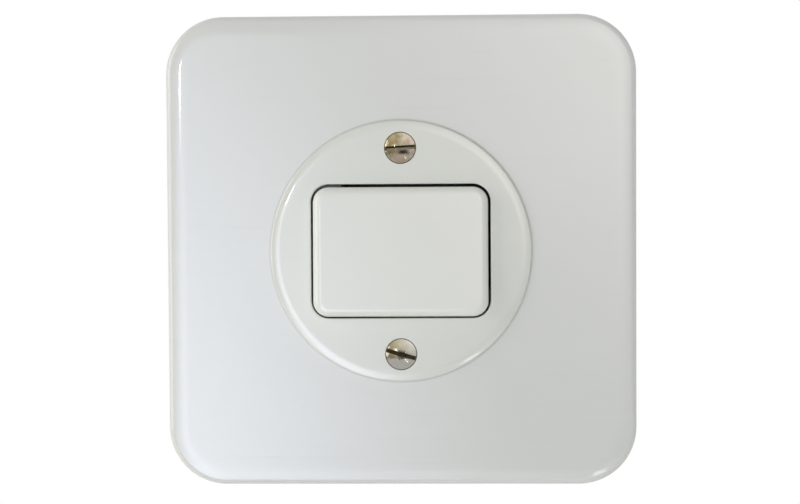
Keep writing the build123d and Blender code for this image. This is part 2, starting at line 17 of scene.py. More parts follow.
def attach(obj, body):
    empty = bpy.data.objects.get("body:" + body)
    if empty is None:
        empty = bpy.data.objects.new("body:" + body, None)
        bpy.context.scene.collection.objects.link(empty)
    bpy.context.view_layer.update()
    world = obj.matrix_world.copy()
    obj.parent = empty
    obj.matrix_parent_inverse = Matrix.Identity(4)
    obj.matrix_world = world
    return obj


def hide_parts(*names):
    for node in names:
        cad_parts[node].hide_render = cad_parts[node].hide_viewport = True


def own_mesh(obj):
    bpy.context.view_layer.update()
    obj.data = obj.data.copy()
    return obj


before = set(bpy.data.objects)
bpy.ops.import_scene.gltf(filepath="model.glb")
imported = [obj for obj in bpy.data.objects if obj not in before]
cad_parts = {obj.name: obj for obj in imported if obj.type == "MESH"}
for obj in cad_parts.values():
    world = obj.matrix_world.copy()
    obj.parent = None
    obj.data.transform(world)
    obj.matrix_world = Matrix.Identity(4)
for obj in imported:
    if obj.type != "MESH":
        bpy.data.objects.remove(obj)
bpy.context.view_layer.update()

LOG = logging.getLogger("light_switch")
MM = 0.001
# Points nearer than this, in metres, are welded
WELD = 2e-7
SCREWS = "front_slotted_screws"
SCREW_SPACING = 50.8
# Small roundings in millimetres: a broken edge and a moulded one
BREAK, SOFT = 0.1, 0.2
# Millimetres of flat kept round a hole or a boss, and inside a block's edge, for the flat face to join
MARGIN, INSET = 0.3, 0.1
# A corner that turns by less than this angle in radians counts as straight
STRAIGHT = 1e-4
# Runs longer than the first length in millimetres get a point at the second from each end
LONG_RUN, NEAR_END = 0.4, 0.06
# A step too small to see, in millimetres
HAIR = 0.02
# The setting of a Mix node that mixes colours, and its inputs
COLOURS = {"data_type": "RGBA"}
SHARE, UNDER, OVER = 0, 6, 7
# The setting of a Map Range node that eases in and out; its inputs are a value, two ends and two results
SMOOTH = {"interpolation_type": "SMOOTHSTEP"}

Pair = tuple[float, float]
Triple = tuple[float, float, float]
Outline = tuple[np.ndarray, np.ndarray]


class Body(str, Enum):
    """The bodies that a piece can ride on."""

    HOUSING = "housing"
    ROCKER = "rocker_lever"
    PLUNGER = "plunger"
    SEE_SAW = "see_saw"


def linear(colour: str) -> tuple[float, float, float, float]:
    """Turn an sRGB hex colour into linear light.

    Args:
        colour: six hex digits, such as "e0e1e3".

    Returns:
        Red, green, blue and an alpha of 1.
    """
    share = np.array([int(colour[i:i + 2], 16) for i in (0, 2, 4)]) / 255.0
    light = np.where(share <= 0.04045, share / 12.92, ((share + 0.055) / 1.055) ** 2.4)
    return (*light.tolist(), 1.0)


def per_metre(size_mm: float) -> float:
    """The texture scale at which a pattern repeats about every size_mm."""
    return 1.0 / (size_mm * MM)


def in_metres(sizes_mm: Sequence[float]) -> list[float]:
    """Sizes in millimetres as metres."""
    return [size * MM for size in sizes_mm]


def output(source: Node | NodeSocket) -> NodeSocket:
    """A socket itself, or a node's first output that is in use."""
    return source if isinstance(source, NodeSocket) else next(s for s in source.outputs if s.enabled)


def add_node(tree: NodeTree, kind: str, inputs: dict[Any, Any] | Sequence[Any] = (), **settings: Any) -> Node:
    """Add one node with its settings, input values and links.

    Args:
        tree: the node tree that it goes into.
        kind: the node's type name, after "ShaderNode".
        inputs: in order, or by name or number, a constant, a hex colour, or the node or socket that feeds it.
        settings: the node's own properties.

    Returns:
        The new node.
    """
    node = tree.nodes.new("ShaderNode" + kind)
    for key, value in settings.items():
        setattr(node, key, value)
    for key, value in inputs.items() if isinstance(inputs, dict) else enumerate(inputs):
        if isinstance(value, (Node, NodeSocket)):
            tree.links.new(output(value), node.inputs[key])
        else:
            node.inputs[key].default_value = linear(value) if isinstance(value, str) else value
    return node


def add_object(name: str, data: ID) -> Object:
    """Put a mesh, lamp or camera into the scene.

    Args:
        name: the object's name.
        data: what it holds.

    Returns:
        The object.
    """
    thing = bpy.data.objects.new(name, data)
    bpy.context.scene.collection.objects.link(thing)
    return thing


@contextmanager
def editing(mesh: Mesh) -> Iterator[bmesh.types.BMesh]:
    """Open a mesh for work on its points and faces, and write it back afterwards.

    Args:
        mesh: the mesh.

    Yields:
        Its editable form.
    """
    work = bmesh.new()
    work.from_mesh(mesh)
    yield work
    work.to_mesh(mesh)
    work.free()


@dataclass(frozen=True)
class Placing:
    """A right-handed set of axes: across, up and out, from an origin in millimetres."""

    origin: Triple
    across: Triple
    up: Triple
    out: Triple

    def metres(self, local: np.ndarray) -> np.ndarray:
        """Local millimetres as metres in the frame: origin + a * across + b * up + h * out."""
        axes = np.array([self.across, self.up, self.out])
        return (np.asarray(self.origin) + local @ axes) * MM


FRONT = Placing((0, 0, 0), (1, 0, 0), (0, 0, 1), (0, -1, 0))


def rounded_rectangle(half_a: float, half_b: float, radius: float, run: int = 20, turn: int = 14) -> Outline:
    """The spine and directions of a rounded rectangle, counter-clockwise seen from outside.

    The spine is the rectangle of the corner arcs' centres, and a direction points squarely away from it, so
    spine + d * direction is the same outline drawn with corner radius d.

    Args:
        half_a: half of its width.
        half_b: half of its height.
        radius: its corner radius.
        run: steps along each straight side.
        turn: steps round each corner.

    Returns:
        The spine's points and the directions, each of shape (n, 2).
    """
    corner = np.array([[1, 1], [-1, 1], [-1, -1], [1, -1]]) * [half_a - radius, half_b - radius]
    quarter = np.arange(4)[:, None] * math.pi / 2
    arc = quarter + np.linspace(0, math.pi / 2, turn + 1)
    share = np.linspace(0, 1, run + 1)[1:-1]
    along = corner[:, None] + share[:, None] * (np.roll(corner, -1, 0) - corner)[:, None]
    spine = np.concatenate([np.repeat(corner[:, None], turn + 1, 1), along], 1).reshape(-1, 2)
    angle = np.concatenate([arc, np.repeat(quarter + math.pi / 2, run - 1, 1)], 1).ravel()
    return spine, np.stack([np.cos(angle), np.sin(angle)], -1)


def ring(steps: int, centre: Pair = (0.0, 0.0)) -> Outline:
    """The spine and directions of a circle: one centre point, and unit vectors at even angles."""
    angle = np.linspace(0, 2 * math.pi, steps, endpoint=False)
    return np.tile(np.array(centre, float), (steps, 1)), np.stack([np.cos(angle), np.sin(angle)], -1)


def loop_at(outline: Outline, distance: float) -> np.ndarray:
    """The loop of points at a distance from an outline's spine."""
    return outline[0] + distance * outline[1]


def rounded_profile(corners: Sequence[Triple], steps: int) -> np.ndarray:
    """A polyline with its corners rounded by tangent arcs.

    Each arc starts r / tan(half the corner's angle) before the corner and is sampled at even turns. Straight
    runs get a point close to each end, which keeps the flats flat when normals are smoothed.

    Args:
        corners: distance out, height and rounding radius of each corner; the two ends are not rounded.
        steps: steps along each arc.

    Returns:
        Points of shape (n, 2).
    """
    points = np.array([c[:2] for c in corners], float)
    pieces = [points[:1]]
    for before, here, after, radius in zip(points, points[1:], points[2:], [c[2] for c in corners[1:]]):
        back = (before - here) / np.linalg.norm(before - here)
        ahead = (after - here) / np.linalg.norm(after - here)
        half = math.acos(np.clip(back @ ahead, -1, 1)) / 2
        if radius <= 0 or math.pi / 2 - half < STRAIGHT:
            pieces.append(here[None])
            continue
        middle = (back + ahead) / np.linalg.norm(back + ahead)
        centre = here + middle * radius / math.sin(half)
        first = (here + back * radius / math.tan(half) - centre) / radius
        last = (here + ahead * radius / math.tan(half) - centre) / radius
        sweep = math.pi - 2 * half
        share = np.linspace(0, 1, steps + 1)[:, None]
        turned = (np.sin((1 - share) * sweep) * first + np.sin(share * sweep) * last) / math.sin(sweep)
        pieces.append(centre + radius * turned)
    pieces.append(points[-1:])
    out = [pieces[0]]
    for left, right in zip(pieces, pieces[1:]):
        gap = right[0] - left[-1]
        length = np.linalg.norm(gap)
        if length > LONG_RUN:
            near = NEAR_END * gap / length
            out.append(np.stack([left[-1] + near, right[0] - near]))
        out.append(right)
    return np.concatenate(out)


@dataclass
class Skin:
    """The surface of one piece, gathered as grids and flats in local millimetres and then welded."""

    placing: Placing = FRONT
    points: list[np.ndarray] = field(default_factory=list)
    faces: list[list[int]] = field(default_factory=list)
    count: int = 0

    def take(self, local: np.ndarray, faces: np.ndarray) -> None:
        """Add points and the faces between them.

        Args:
            local: points in local millimetres, of shape (n, 3).
            faces: the points' numbers, one row for each face.
        """
        self.faces += (faces + self.count).tolist()
        self.points.append(self.placing.metres(local))
        self.count += len(local)

    def grid(self, local: np.ndarray) -> None:
        """Add a grid of points whose columns close into a loop.

        Args:
            local: points of shape (rows, columns, 3); rows run outwards in front, then back along the side.
        """
        rows, columns = local.shape[:2]
        first = np.arange(rows - 1)[:, None] * columns + np.arange(columns)
        beside = np.arange(rows - 1)[:, None] * columns + (np.arange(columns) + 1) % columns
        quads = np.stack([first, first + columns, beside + columns, beside], -1).reshape(-1, 4)
        self.take(local.reshape(-1, 3), quads)

    def sweep(self, outline: Outline, corners: Sequence[Triple], steps: int) -> None:
        """Carry a rounded profile round an outline: point = spine + distance * direction, at its height.

        Args:
            outline: spine and directions, each of shape (n, 2).
            corners: distance out, height and rounding radius of each of the profile's corners.
            steps: steps along each rounding.
        """
        spine, direction = outline
        profile = rounded_profile(corners, steps)
        flat = spine + profile[:, :1, None] * direction
        height = np.broadcast_to(profile[:, 1:, None], (*flat.shape[:2], 1))
        self.grid(np.concatenate([flat, height], -1))

    def flat(self, loops: Sequence[np.ndarray], height: float, outwards: bool) -> None:
        """Fill a flat face between an outer loop and the loops of its holes.

        Args:
            loops: the outer loop and then the holes, each of shape (n, 2).
            height: the face's height.
            outwards: whether it faces out, rather than back.
        """
        triangles = np.array(tessellate_polygon([np.pad(loop, ((0, 0), (0, 1))).tolist() for loop in loops]))
        plane = np.concatenate(loops)
        side = plane[triangles]
        turn = np.cross(side[:, 1] - side[:, 0], side[:, 2] - side[:, 0])
        triangles[(turn > 0) != outwards] = triangles[(turn > 0) != outwards][:, ::-1]
        self.take(np.column_stack([plane, np.full(len(plane), height)]), triangles)

    def mesh(self, name: str) -> Mesh:
        """Weld the gathered points into a smooth mesh.

        Args:
            name: the mesh's name.

        Returns:
            The mesh, in metres, with its place in its points.
        """
        mesh = bpy.data.meshes.new(name)
        mesh.from_pydata(np.concatenate(self.points).tolist(), [], self.faces)
        with editing(mesh) as work:
            bmesh.ops.remove_doubles(work, verts=work.verts, dist=WELD)
            bmesh.ops.dissolve_degenerate(work, edges=work.edges, dist=WELD)
        mesh.shade_smooth()
        return mesh


def show(mesh: Mesh, finish: "Finish", body: Body, slot: str, *nodes: str) -> Object:
    """Put a mesh into the scene as a finished piece that stands for CAD nodes.

    Args:
        mesh: the piece's mesh.
        finish: what it is made of.
        body: the body that it moves with.
        slot: the record's material slot; not used.
        nodes: the CAD nodes that it replaces.

    Returns:
        The piece's object.
    """
    piece = add_object(mesh.name, mesh)
    mesh.materials.clear()
    mesh.materials.append(finish.material())
    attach(piece, body.value)
    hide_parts(*nodes)
    LOG.info("%s: %d faces, rides on %s", piece.name, len(mesh.polygons), body.value)
    return piece


@dataclass(frozen=True)
class Finish:
    """A finish: a base colour and gloss, to which each kind adds its own marks."""

    name: str
    colour: str
    roughness: float
    metallic: float = 0.0
    ior: float = 1.5

    def material(self) -> Material:
        """Make the material, or find it if it was made before.

        Returns:
            The finished material.
        """
        known = bpy.data.materials.get(self.name)
        if known:
            return known
        material = bpy.data.materials.new(self.name)
        material.use_nodes = True
        tree = material.node_tree
        tree.nodes.clear()
        plain = {"Base Color": self.colour, "Roughness": self.roughness, "Metallic": self.metallic}
        if not self.metallic:
            plain["IOR"] = self.ior
        shader = add_node(tree, "BsdfPrincipled", plain)
        add_node(tree, "OutputMaterial", {"Surface": shader})
        where = add_node(tree, "TexCoord").outputs["Object"]
        for name, mark in self.marks(tree, where).items():
            tree.links.new(output(mark), shader.inputs[name])
        return material

    def marks(self, tree: NodeTree, where: NodeSocket) -> dict[str, Node]:
        """The nodes that feed the shader, by the name of its input; each kind of finish adds its own."""
        raise NotImplementedError


@dataclass(frozen=True)
class Moulding(Finish):
    """A moulded plastic: slow changes of tone where the melt flowed, and a fine skin that softens the gloss.

    The skin's real grain is too fine to show, so it is drawn coarser.
    """

    second: str = "ffffff"
    patch_mm: float = 22.0
    grain_mm: float = 0.9
    grain_depth_mm: float = 0.0012
    gloss_spread: float = 0.02

    def marks(self, tree: NodeTree, where: NodeSocket) -> dict[str, Node]:
        """Add flow tones, uneven gloss and a fine skin.

        Args:
            tree: the material's nodes.
            where: Object coordinates.

        Returns:
            The nodes that feed the shader, by the name of its input.
        """
        add = partial(add_node, tree)
        patch = add("TexNoise", {
            "Vector": where, "Scale": per_metre(self.patch_mm), "Detail": 9.0, "Roughness": 0.68,
        })
        grain = add("TexNoise", {"Vector": where, "Scale": per_metre(self.grain_mm), "Detail": 2.0})
        low, high = self.roughness - self.gloss_spread, self.roughness + self.gloss_spread
        return {
            "Base Color": add("Mix", {SHARE: patch, UNDER: self.colour, OVER: self.second}, **COLOURS),
            "Roughness": add("MapRange", (patch, 0.0, 1.0, low, high)),
            "Normal": add("Bump", {"Height": grain, "Distance": self.grain_depth_mm * MM}),
        }


@dataclass(frozen=True)
class Enamel(Moulding):
    """Stoved enamel on pressed steel: orange peel in the gloss, nibs, wiping streaks, and dirt with painted
    contact shade in a ring along the disc's edge.
    """

    nib_every_mm: float = 9.0
    nib_mm: float = 0.35
    nib_height_mm: float = 0.03
    nib_stretch: Triple = (0.45, 1.0, 1.0)
    streak: str = "c9cac6"
    streak_mm: float = 1.6
    streak_turn_deg: float = -32.0
    streak_stretch: Triple = (0.06, 1.0, 1.0)
    streak_from: Pair = (0.58, 0.85)
    streak_most: float = 0.16
    # The ring of dirt and painted contact shade round the disc: its colour, its radii and its strongest share
    dirt_and_shade: str = "858278"
    dirt_and_shade_radii_mm: Pair = (32.2, 32.75)
    dirt_and_shade_most: float = 0.38

    def marks(self, tree: NodeTree, where: NodeSocket) -> dict[str, Node]:
        """Add the moulding's soft tones, and over them the nibs, the streaks and the ring of dirt and painted
        contact shade round the disc.

        Args:
            tree: the material's nodes.
            where: Object coordinates.

        Returns:
            The nodes that feed the shader, by the name of its input.
        """
        marks = super().marks(tree, where)
        add = partial(add_node, tree)
        drawn = add("Mapping", {"Vector": where, "Scale": self.nib_stretch})
        cells = add("TexVoronoi", {"Vector": drawn, "Scale": per_metre(self.nib_every_mm)})
        nib = add("MapRange", (cells, 0.0, self.nib_mm / self.nib_every_mm, 1.0, 0.0), **SMOOTH)
        slant = add("Mapping", {
            "Vector": where, "Rotation": (0, math.radians(self.streak_turn_deg), 0), "Scale": self.streak_stretch,
        })
        wipe = add("TexNoise", {"Vector": slant, "Scale": per_metre(self.streak_mm), "Detail": 4.0})
        faint = add("MapRange", (wipe, *self.streak_from, 0.0, self.streak_most))
        streaked = add("Mix", {SHARE: faint, UNDER: marks["Base Color"], OVER: self.streak}, **COLOURS)
        # A darker ring on the plate just outside the disc's edge: dirt and painted contact shade where the disc
        # meets the plate
        flat = add("VectorMath", (where, (1.0, 0.0, 1.0)), operation="MULTIPLY")
        radius = add("VectorMath", (flat,), operation="LENGTH")
        dirt_and_shade_ring = add("MapRange", (radius, *in_metres(self.dirt_and_shade_radii_mm), self.dirt_and_shade_most, 0.0))
        return marks | {
            "Base Color": add("Mix", {SHARE: dirt_and_shade_ring, UNDER: streaked, OVER: self.dirt_and_shade}, **COLOURS),
            "Normal": add("Bump", {
                "Height": nib, "Normal": marks["Normal"], "Distance": self.nib_height_mm * MM,
            }),
        }


def from_screw_axis(tree: NodeTree, where: NodeSocket) -> tuple[Node, Node]:
    """The distance from the nearer front screw's axis, found by folding the height over.

    Args:
        tree: the material's nodes.
        where: Object coordinates.

    Returns:
        The nodes with the distance and with the height off the axis, away from the switch's middle, in metres.
    """
    add = partial(add_node, tree)
    split = add("SeparateXYZ", {0: where})
    folded = add("Math", (split.outputs["Z"],), operation="ABSOLUTE")
    height = add("Math", (folded, SCREW_SPACING / 2 * MM), operation="SUBTRACT")
    flat = add("CombineXYZ", {"X": split.outputs["X"], "Y": height})
    return add("VectorMath", (flat,), operation="LENGTH"), height


@dataclass(frozen=True)
class HandledMoulding(Moulding):
    """A moulding with two countersinks, with grime and painted shade in a ring round the screw heads, and painted
    shade deep inside the rocker's opening.
    """

    # Grime and painted shade round the screw heads, and painted shade deep in the opening
    grime_and_shade: str = "57523f"
    grime_and_shade_radius_mm: float = 4.02
    grime_and_shade_fade_mm: float = 0.14
    gap_shade: str = "2b2a27"
    opening_mm: Pair = (44.1, 32.9)
    gap_shade_depth_mm: Pair = (-1.0, 5.5)

    def marks(self, tree: NodeTree, where: NodeSocket) -> dict[str, Node]:
        """Add the moulding's own marks, the grime and painted shade in the countersinks, and the painted shade
        deep inside the opening.

        Args:
            tree: the material's nodes.
            where: Object coordinates.

        Returns:
            The nodes that feed the shader, by the name of its input.
        """
        marks = super().marks(tree, where)
        add = partial(add_node, tree)
        # A dark ring round each screw head: grime and painted shade in the gap between head and countersink
        fades = in_metres((self.grime_and_shade_radius_mm - self.grime_and_shade_fade_mm, self.grime_and_shade_radius_mm))
        grime_and_shade_ring = add("MapRange", (from_screw_axis(tree, where)[0], *fades, 1.0, 0.0))
        grimed_and_shaded = add("Mix", {SHARE: grime_and_shade_ring, UNDER: marks["Base Color"], OVER: self.grime_and_shade}, **COLOURS)
        # Painted shade: near-black on the skirt's walls deep inside the rocker's opening, where the gap looks
        # dark
        width, height = (2 / (size * MM) for size in self.opening_mm)
        off = add("VectorMath", (where,), operation="ABSOLUTE")
        reach = add("VectorMath", (off, (width, 0.0, height)), operation="MULTIPLY")
        sides = add("SeparateXYZ", {0: reach}).outputs
        widest = add("Math", (sides["X"], sides["Z"]), operation="MAXIMUM")
        inside = add("Math", (widest, 1.0), operation="LESS_THAN")
        depth = add("SeparateXYZ", {0: where}).outputs["Y"]
        middle = sum(self.gap_shade_depth_mm) / 2 * MM
        deep = add("Math", (depth, middle, self.gap_shade_depth_mm[1] * MM - middle), operation="COMPARE")
        gap_shaded = add("Math", (inside, deep), operation="MULTIPLY")
        return marks | {"Base Color": add("Mix", {SHARE: gap_shaded, UNDER: grimed_and_shaded, OVER: self.gap_shade}, **COLOURS)}


@dataclass(frozen=True)
class Metal(Finish):
    """A worked metal: patches of tarnish or plating tone, and lines left by rolling or drawing.

    The real lines are too fine to show, so they are drawn coarser.
    """

    metallic: float = 1.0
    tarnish: str = "808080"
    tarnish_from: Pair = (0.35, 0.72)
    patch_mm: float = 6.0
    line_mm: float = 0.25
    stretch: Triple = (1.0, 1.0, 0.04)
    line_depth_mm: float = 0.003
    gloss_spread: float = 0.08

    def marks(self, tree: NodeTree, where: NodeSocket) -> dict[str, Node]:
        """Add tarnish, uneven gloss and working lines.

        Args:
            tree: the material's nodes.
            where: Object coordinates.

        Returns:
            The nodes that feed the shader, by the name of its input.
        """
        add = partial(add_node, tree)
        patch = add("TexNoise", {"Vector": where, "Scale": per_metre(self.patch_mm), "Detail": 5.0})
        dull = add("MapRange", (patch, *self.tarnish_from))
        low, high = self.roughness - self.gloss_spread, self.roughness + self.gloss_spread
        return {
            "Base Color": add("Mix", {SHARE: dull, UNDER: self.colour, OVER: self.tarnish}, **COLOURS),
            "Roughness": add("MapRange", (patch, 0.0, 1.0, low, high)),
            "Normal": add("Bump", {"Height": self.lines(tree, where), "Distance": self.line_depth_mm * MM}),
        }

    def lines(self, tree: NodeTree, where: NodeSocket) -> Node:
        """The height of straight working lines: noise stretched along one axis."""
        drawn = add_node(tree, "Mapping", {"Vector": where, "Scale": self.stretch})
        return add_node(tree, "TexNoise", {"Vector": drawn, "Scale": per_metre(self.line_mm), "Detail": 3.0})


@dataclass(frozen=True)
class TurnedPlate(Metal):
    """A plated screw head turned in a lathe: rings round each screw's axis, and dirt with painted shadow in its
    slot.

    The lower screw is brighter and rustier than the upper one, with torn metal in its middle.
    """

    bloom: str = "bfa497"
    bloom_mm: float = 2.6
    bloom_from: Pair = (0.45, 0.65)
    bloom_most: float = 0.55
    bright: str = "d0d0cb"
    bright_share: float = 0.7
    knock_mm: float = 1.1
    knock_depth_mm: float = 0.05
    # The slot's dirt with painted shadow, and the lower screw's rust
    dirt_and_shade: str = "1f1a13"
    rust: str = "4d412b"
    slot_lean: Pair = (0.061, 0.287)
    dirt_and_shade_level_mm: float = 8.5
    dirt_and_shade_reach_mm: float = 0.45
    dirt_and_shade_most: float = 0.95
    low_wall_share: float = 0.25
    wall_mm: Pair = (-0.1, 0.15)
    low_screw_shift_mm: float = 0.45
    torn_mm: float = 1.1
    torn_share: float = 0.6

    def marks(self, tree: NodeTree, where: NodeSocket) -> dict[str, Node]:
        """Add the metal's own marks, a pink bloom, dirt and painted shadow about the level of the slot's floor,
        and torn metal.

        Args:
            tree: the material's nodes.
            where: Object coordinates.

        Returns:
            The nodes that feed the shader, by the name of its input.
        """
        marks = super().marks(tree, where)
        add = partial(add_node, tree)
        radius, height = from_screw_axis(tree, where)
        split = add("SeparateXYZ", {0: where}).outputs
        lower = add("Math", (split["Z"], 0.0), operation="LESS_THAN")
        cloud = add("TexNoise", {"Vector": where, "Scale": per_metre(self.bloom_mm), "Detail": 2.0})
        thick = add("MapRange", (cloud, *self.bloom_from, 0.0, self.bloom_most))
        bloomed = add("Mix", {SHARE: thick, UNDER: marks["Base Color"], OVER: self.bloom}, **COLOURS)
        kept = add("Math", (lower, self.bright_share), operation="MULTIPLY")
        brighter = add("Mix", {SHARE: kept, UNDER: bloomed, OVER: self.bright}, **COLOURS)
        # Dirt and painted shadow: near the level of the slot's floor, and darker towards the slot's upper wall,
        # where the lip's shadow falls
        above = add("Math", (split["Y"], self.dirt_and_shade_level_mm * MM), operation="ADD")
        off = add("Math", (above,), operation="ABSOLUTE")
        fades = in_metres((0.5 * self.dirt_and_shade_reach_mm, self.dirt_and_shade_reach_mm))
        lies = add("MapRange", (off, *fades, self.dirt_and_shade_most, 0.0))
        lean = add("MapRange", (lower, 0.0, 1.0, *self.slot_lean))
        along = add("Math", (split["X"], lean), operation="MULTIPLY")
        across = add("Math", (height, along), operation="SUBTRACT")
        spread = add("Math", (lower, self.low_screw_shift_mm * MM, across), operation="MULTIPLY_ADD")
        packed = add("MapRange", (spread, *in_metres(self.wall_mm), self.low_wall_share))
        walled = add("Math", (lies, packed), operation="MULTIPLY")
        # The torn metal: inside a ragged circle on the lower screw
        ragged = add("TexNoise", {"Vector": where, "Scale": per_metre(0.5 * self.torn_mm), "Detail": 3.0})
        edge = add("Math", (ragged, 2 * self.torn_mm * MM), operation="MULTIPLY")
        torn = add("Math", (radius, edge), operation="LESS_THAN")
        chewed = add("Math", (torn, lower), operation="MULTIPLY")
        marked = add("Math", (chewed, self.torn_share, walled), operation="MULTIPLY_ADD")
        held = add("Clamp", {"Value": marked, "Max": self.dirt_and_shade_most})
        # Dirt with painted shadow on the upper screw, rust on the lower
        soil_and_shade = add("Mix", {SHARE: lower, UNDER: self.dirt_and_shade, OVER: self.rust}, **COLOURS)
        knocks = add("TexNoise", {"Vector": where, "Scale": per_metre(self.knock_mm), "Detail": 3.0})
        return marks | {
            "Base Color": add("Mix", {SHARE: held, UNDER: brighter, OVER: soil_and_shade}, **COLOURS),
            "Normal": add("Bump", {
                "Height": knocks, "Normal": marks["Normal"], "Distance": self.knock_depth_mm * MM,
            }),
        }

    def lines(self, tree: NodeTree, where: NodeSocket) -> Node:
        """The height of the rings: a sine of the distance from the nearer screw's axis.

        Args:
            tree: the material's nodes.
            where: Object coordinates.

        Returns:
            The node with the height.
        """
        radius = from_screw_axis(tree, where)[0]
        scale = 2 * math.pi * per_metre(self.line_mm)
        turns = add_node(tree, "Math", (radius, scale), operation="MULTIPLY")
        return add_node(tree, "Math", (turns,), operation="SINE")


# Stoved white enamel: a nearly neutral white gloss with a slight orange peel, dust nibs and wiping streaks
ENAMEL = Enamel(
    "stoved_enamel_on_steel", "dfe0dc", 0.05, ior=1.58, second="dadbd7", patch_mm=38.0, grain_mm=0.8,
    grain_depth_mm=0.0035,
)
# Urea moulding: a smooth, slightly warm white, with grime and painted shade round the screws, and near-black
# painted shade deep in the opening
UREA = HandledMoulding("moulded_urea", "e0e1da", 0.06, ior=1.58, second="ddded6", grain_depth_mm=0.002)
# The rocker's urea: the same moulding, coloured a shade lighter as painted light for the brighter light that its
# face catches
ROCKER_UREA_PAINTED_LIGHTER = Moulding("moulded_urea_rocker", "e8e9e3", 0.07, ior=1.58, second="e5e6df")
# Nickel on turned brass: a bright, slightly yellow silver with rings, cloudy where it has been handled
NICKEL = TurnedPlate(
    "nickel_plated_turned_brass", "d2cabc", 0.13, tarnish="a99e82", patch_mm=1.6, line_mm=0.3,
    line_depth_mm=0.0012, gloss_spread=0.05,
)
# Zinc plating on small screws: grey with a trace of blue
ZINC_SCREW = Metal("zinc_plated_screw_steel", "b4b4b0", 0.34, tarnish="8f908f", patch_mm=1.5)
# Zinc plating on stamped strip: pale grey, cloudy, with rolling lines
ZINC_STRIP = Metal("zinc_plated_strip_steel", "b9bcbe", 0.38, tarnish="989da1", patch_mm=4.5, line_mm=0.4)
# Brass, machined and stamped: warm yellow, brown where it has tarnished
BRASS = Metal("machined_brass", "c9a765", 0.3, tarnish="a27c43", patch_mm=3.5)
# Copper alloy blade: pinkish, rolled
COPPER = Metal("rolled_copper_alloy", "c08a66", 0.32, tarnish="96613f", patch_mm=2.5)
# Silver contact rivets: white and slightly dull
SILVER = Metal("cold_headed_silver", "dcdad3", 0.28, tarnish="b3afa4", patch_mm=0.8)
# Drawn steel pin and coiled spring wire: grey, with lines along the drawing
BRIGHT_STEEL = Metal("drawn_bright_steel", "b2b2b3", 0.27, tarnish="909092", patch_mm=2.0, stretch=(0.04, 1, 1))
SPRING_STEEL = Metal("oil_tempered_spring_wire", "84868a", 0.33, tarnish="5f6165", patch_mm=1.0)
# Natural nylon: off-white, waxy
NYLON = Moulding("natural_nylon", "dcd5bf", 0.42, second="d2cab2", patch_mm=5.0)
# Phenolic moulding: near black, with a dull skin and a brown cast
PHENOLIC = Moulding(
    "moulded_phenolic", "2a2725", 0.42, second="342f2b", patch_mm=7.0, grain_mm=0.5, grain_depth_mm=0.006
)
# A painted floor: pale, dull, faintly uneven
FLOOR = Moulding("pale_floor_paint", "e6e6e3", 0.6, second="e2e2df", patch_mm=180.0, grain_mm=6.0)


@dataclass
class CoverPlate:
    """The pressed cover plate: a shallow tray with a crowned, bevelled edge and three passages."""

    side: float = 116.0
    corner: float = 14.3
    depth: float = 8.0
    bevel_width: float = 3.6
    bevel_drop: float = 0.55
    crown: float = 20.0
    edge: float = 1.8
    sheet: float = 1.2
    web_inset: float = 7.0
    sheared: float = 0.15
    passage: Triple = (48.6, 37.4, 6.6)
    boss_hole: float = 5.25

    def section(self) -> list[Triple]:
        """The section from the front web over the edge, down the wall and back along the inside.

        The inner bevel is the outer one moved in by the sheet's thickness, square to itself.

        Returns:
            Each corner's distance from the centre of the plate's corner arc, height and rounding radius.
        """
        slope = math.hypot(self.bevel_width, self.bevel_drop)
        shift = self.sheet * self.bevel_drop / slope
        low = self.depth - self.bevel_drop - self.sheet * self.bevel_width / slope
        rise = self.bevel_drop / self.bevel_width
        inner = self.depth - self.sheet
        corners = [
            (self.web_inset, self.depth, 0),
            (self.bevel_width, self.depth, self.crown),
            (0, self.depth - self.bevel_drop, self.edge),
            (0, 0, self.sheared),
            (self.sheet, 0, self.sheared),
            (self.sheet, low + (self.sheet - shift) * rise, self.edge - self.sheet),
            (shift + (inner - low) / rise, inner, self.crown - self.sheet),
            (self.web_inset, inner, 0),
        ]
        return [(self.corner - inset, height, radius) for inset, height, radius in corners]

    def build(self) -> Object:
        """Make the plate.

        Returns:
            Its object.
        """
        skin = Skin()
        outline = rounded_rectangle(self.side / 2, self.side / 2, self.corner, run=30, turn=24)
        skin.sweep(outline, self.section(), steps=12)
        width, height, radius = self.passage
        holes = [(rounded_rectangle(width / 2, height / 2, radius), radius)]
        holes += [(ring(48, (0, s * SCREW_SPACING / 2)), self.boss_hole) for s in (1, -1)]
        inner = self.depth - self.sheet
        margin = 2 * self.sheared
        for hole, edge in holes:
            skin.sweep(hole, [
                (edge + margin, inner, 0),
                (edge, inner, self.sheared),
                (edge, self.depth, self.sheared),
                (edge + margin, self.depth, 0),
            ], steps=3)
        loops = [loop_at(outline, self.corner - self.web_inset)]
        loops += [loop_at(hole, edge + margin) for hole, edge in holes]
        skin.flat(loops, self.depth, True)
        skin.flat(loops, inner, False)
        return show(skin.mesh("enamelled_plate"), ENAMEL, Body.HOUSING, "enamelled_steel", "cover_plate")


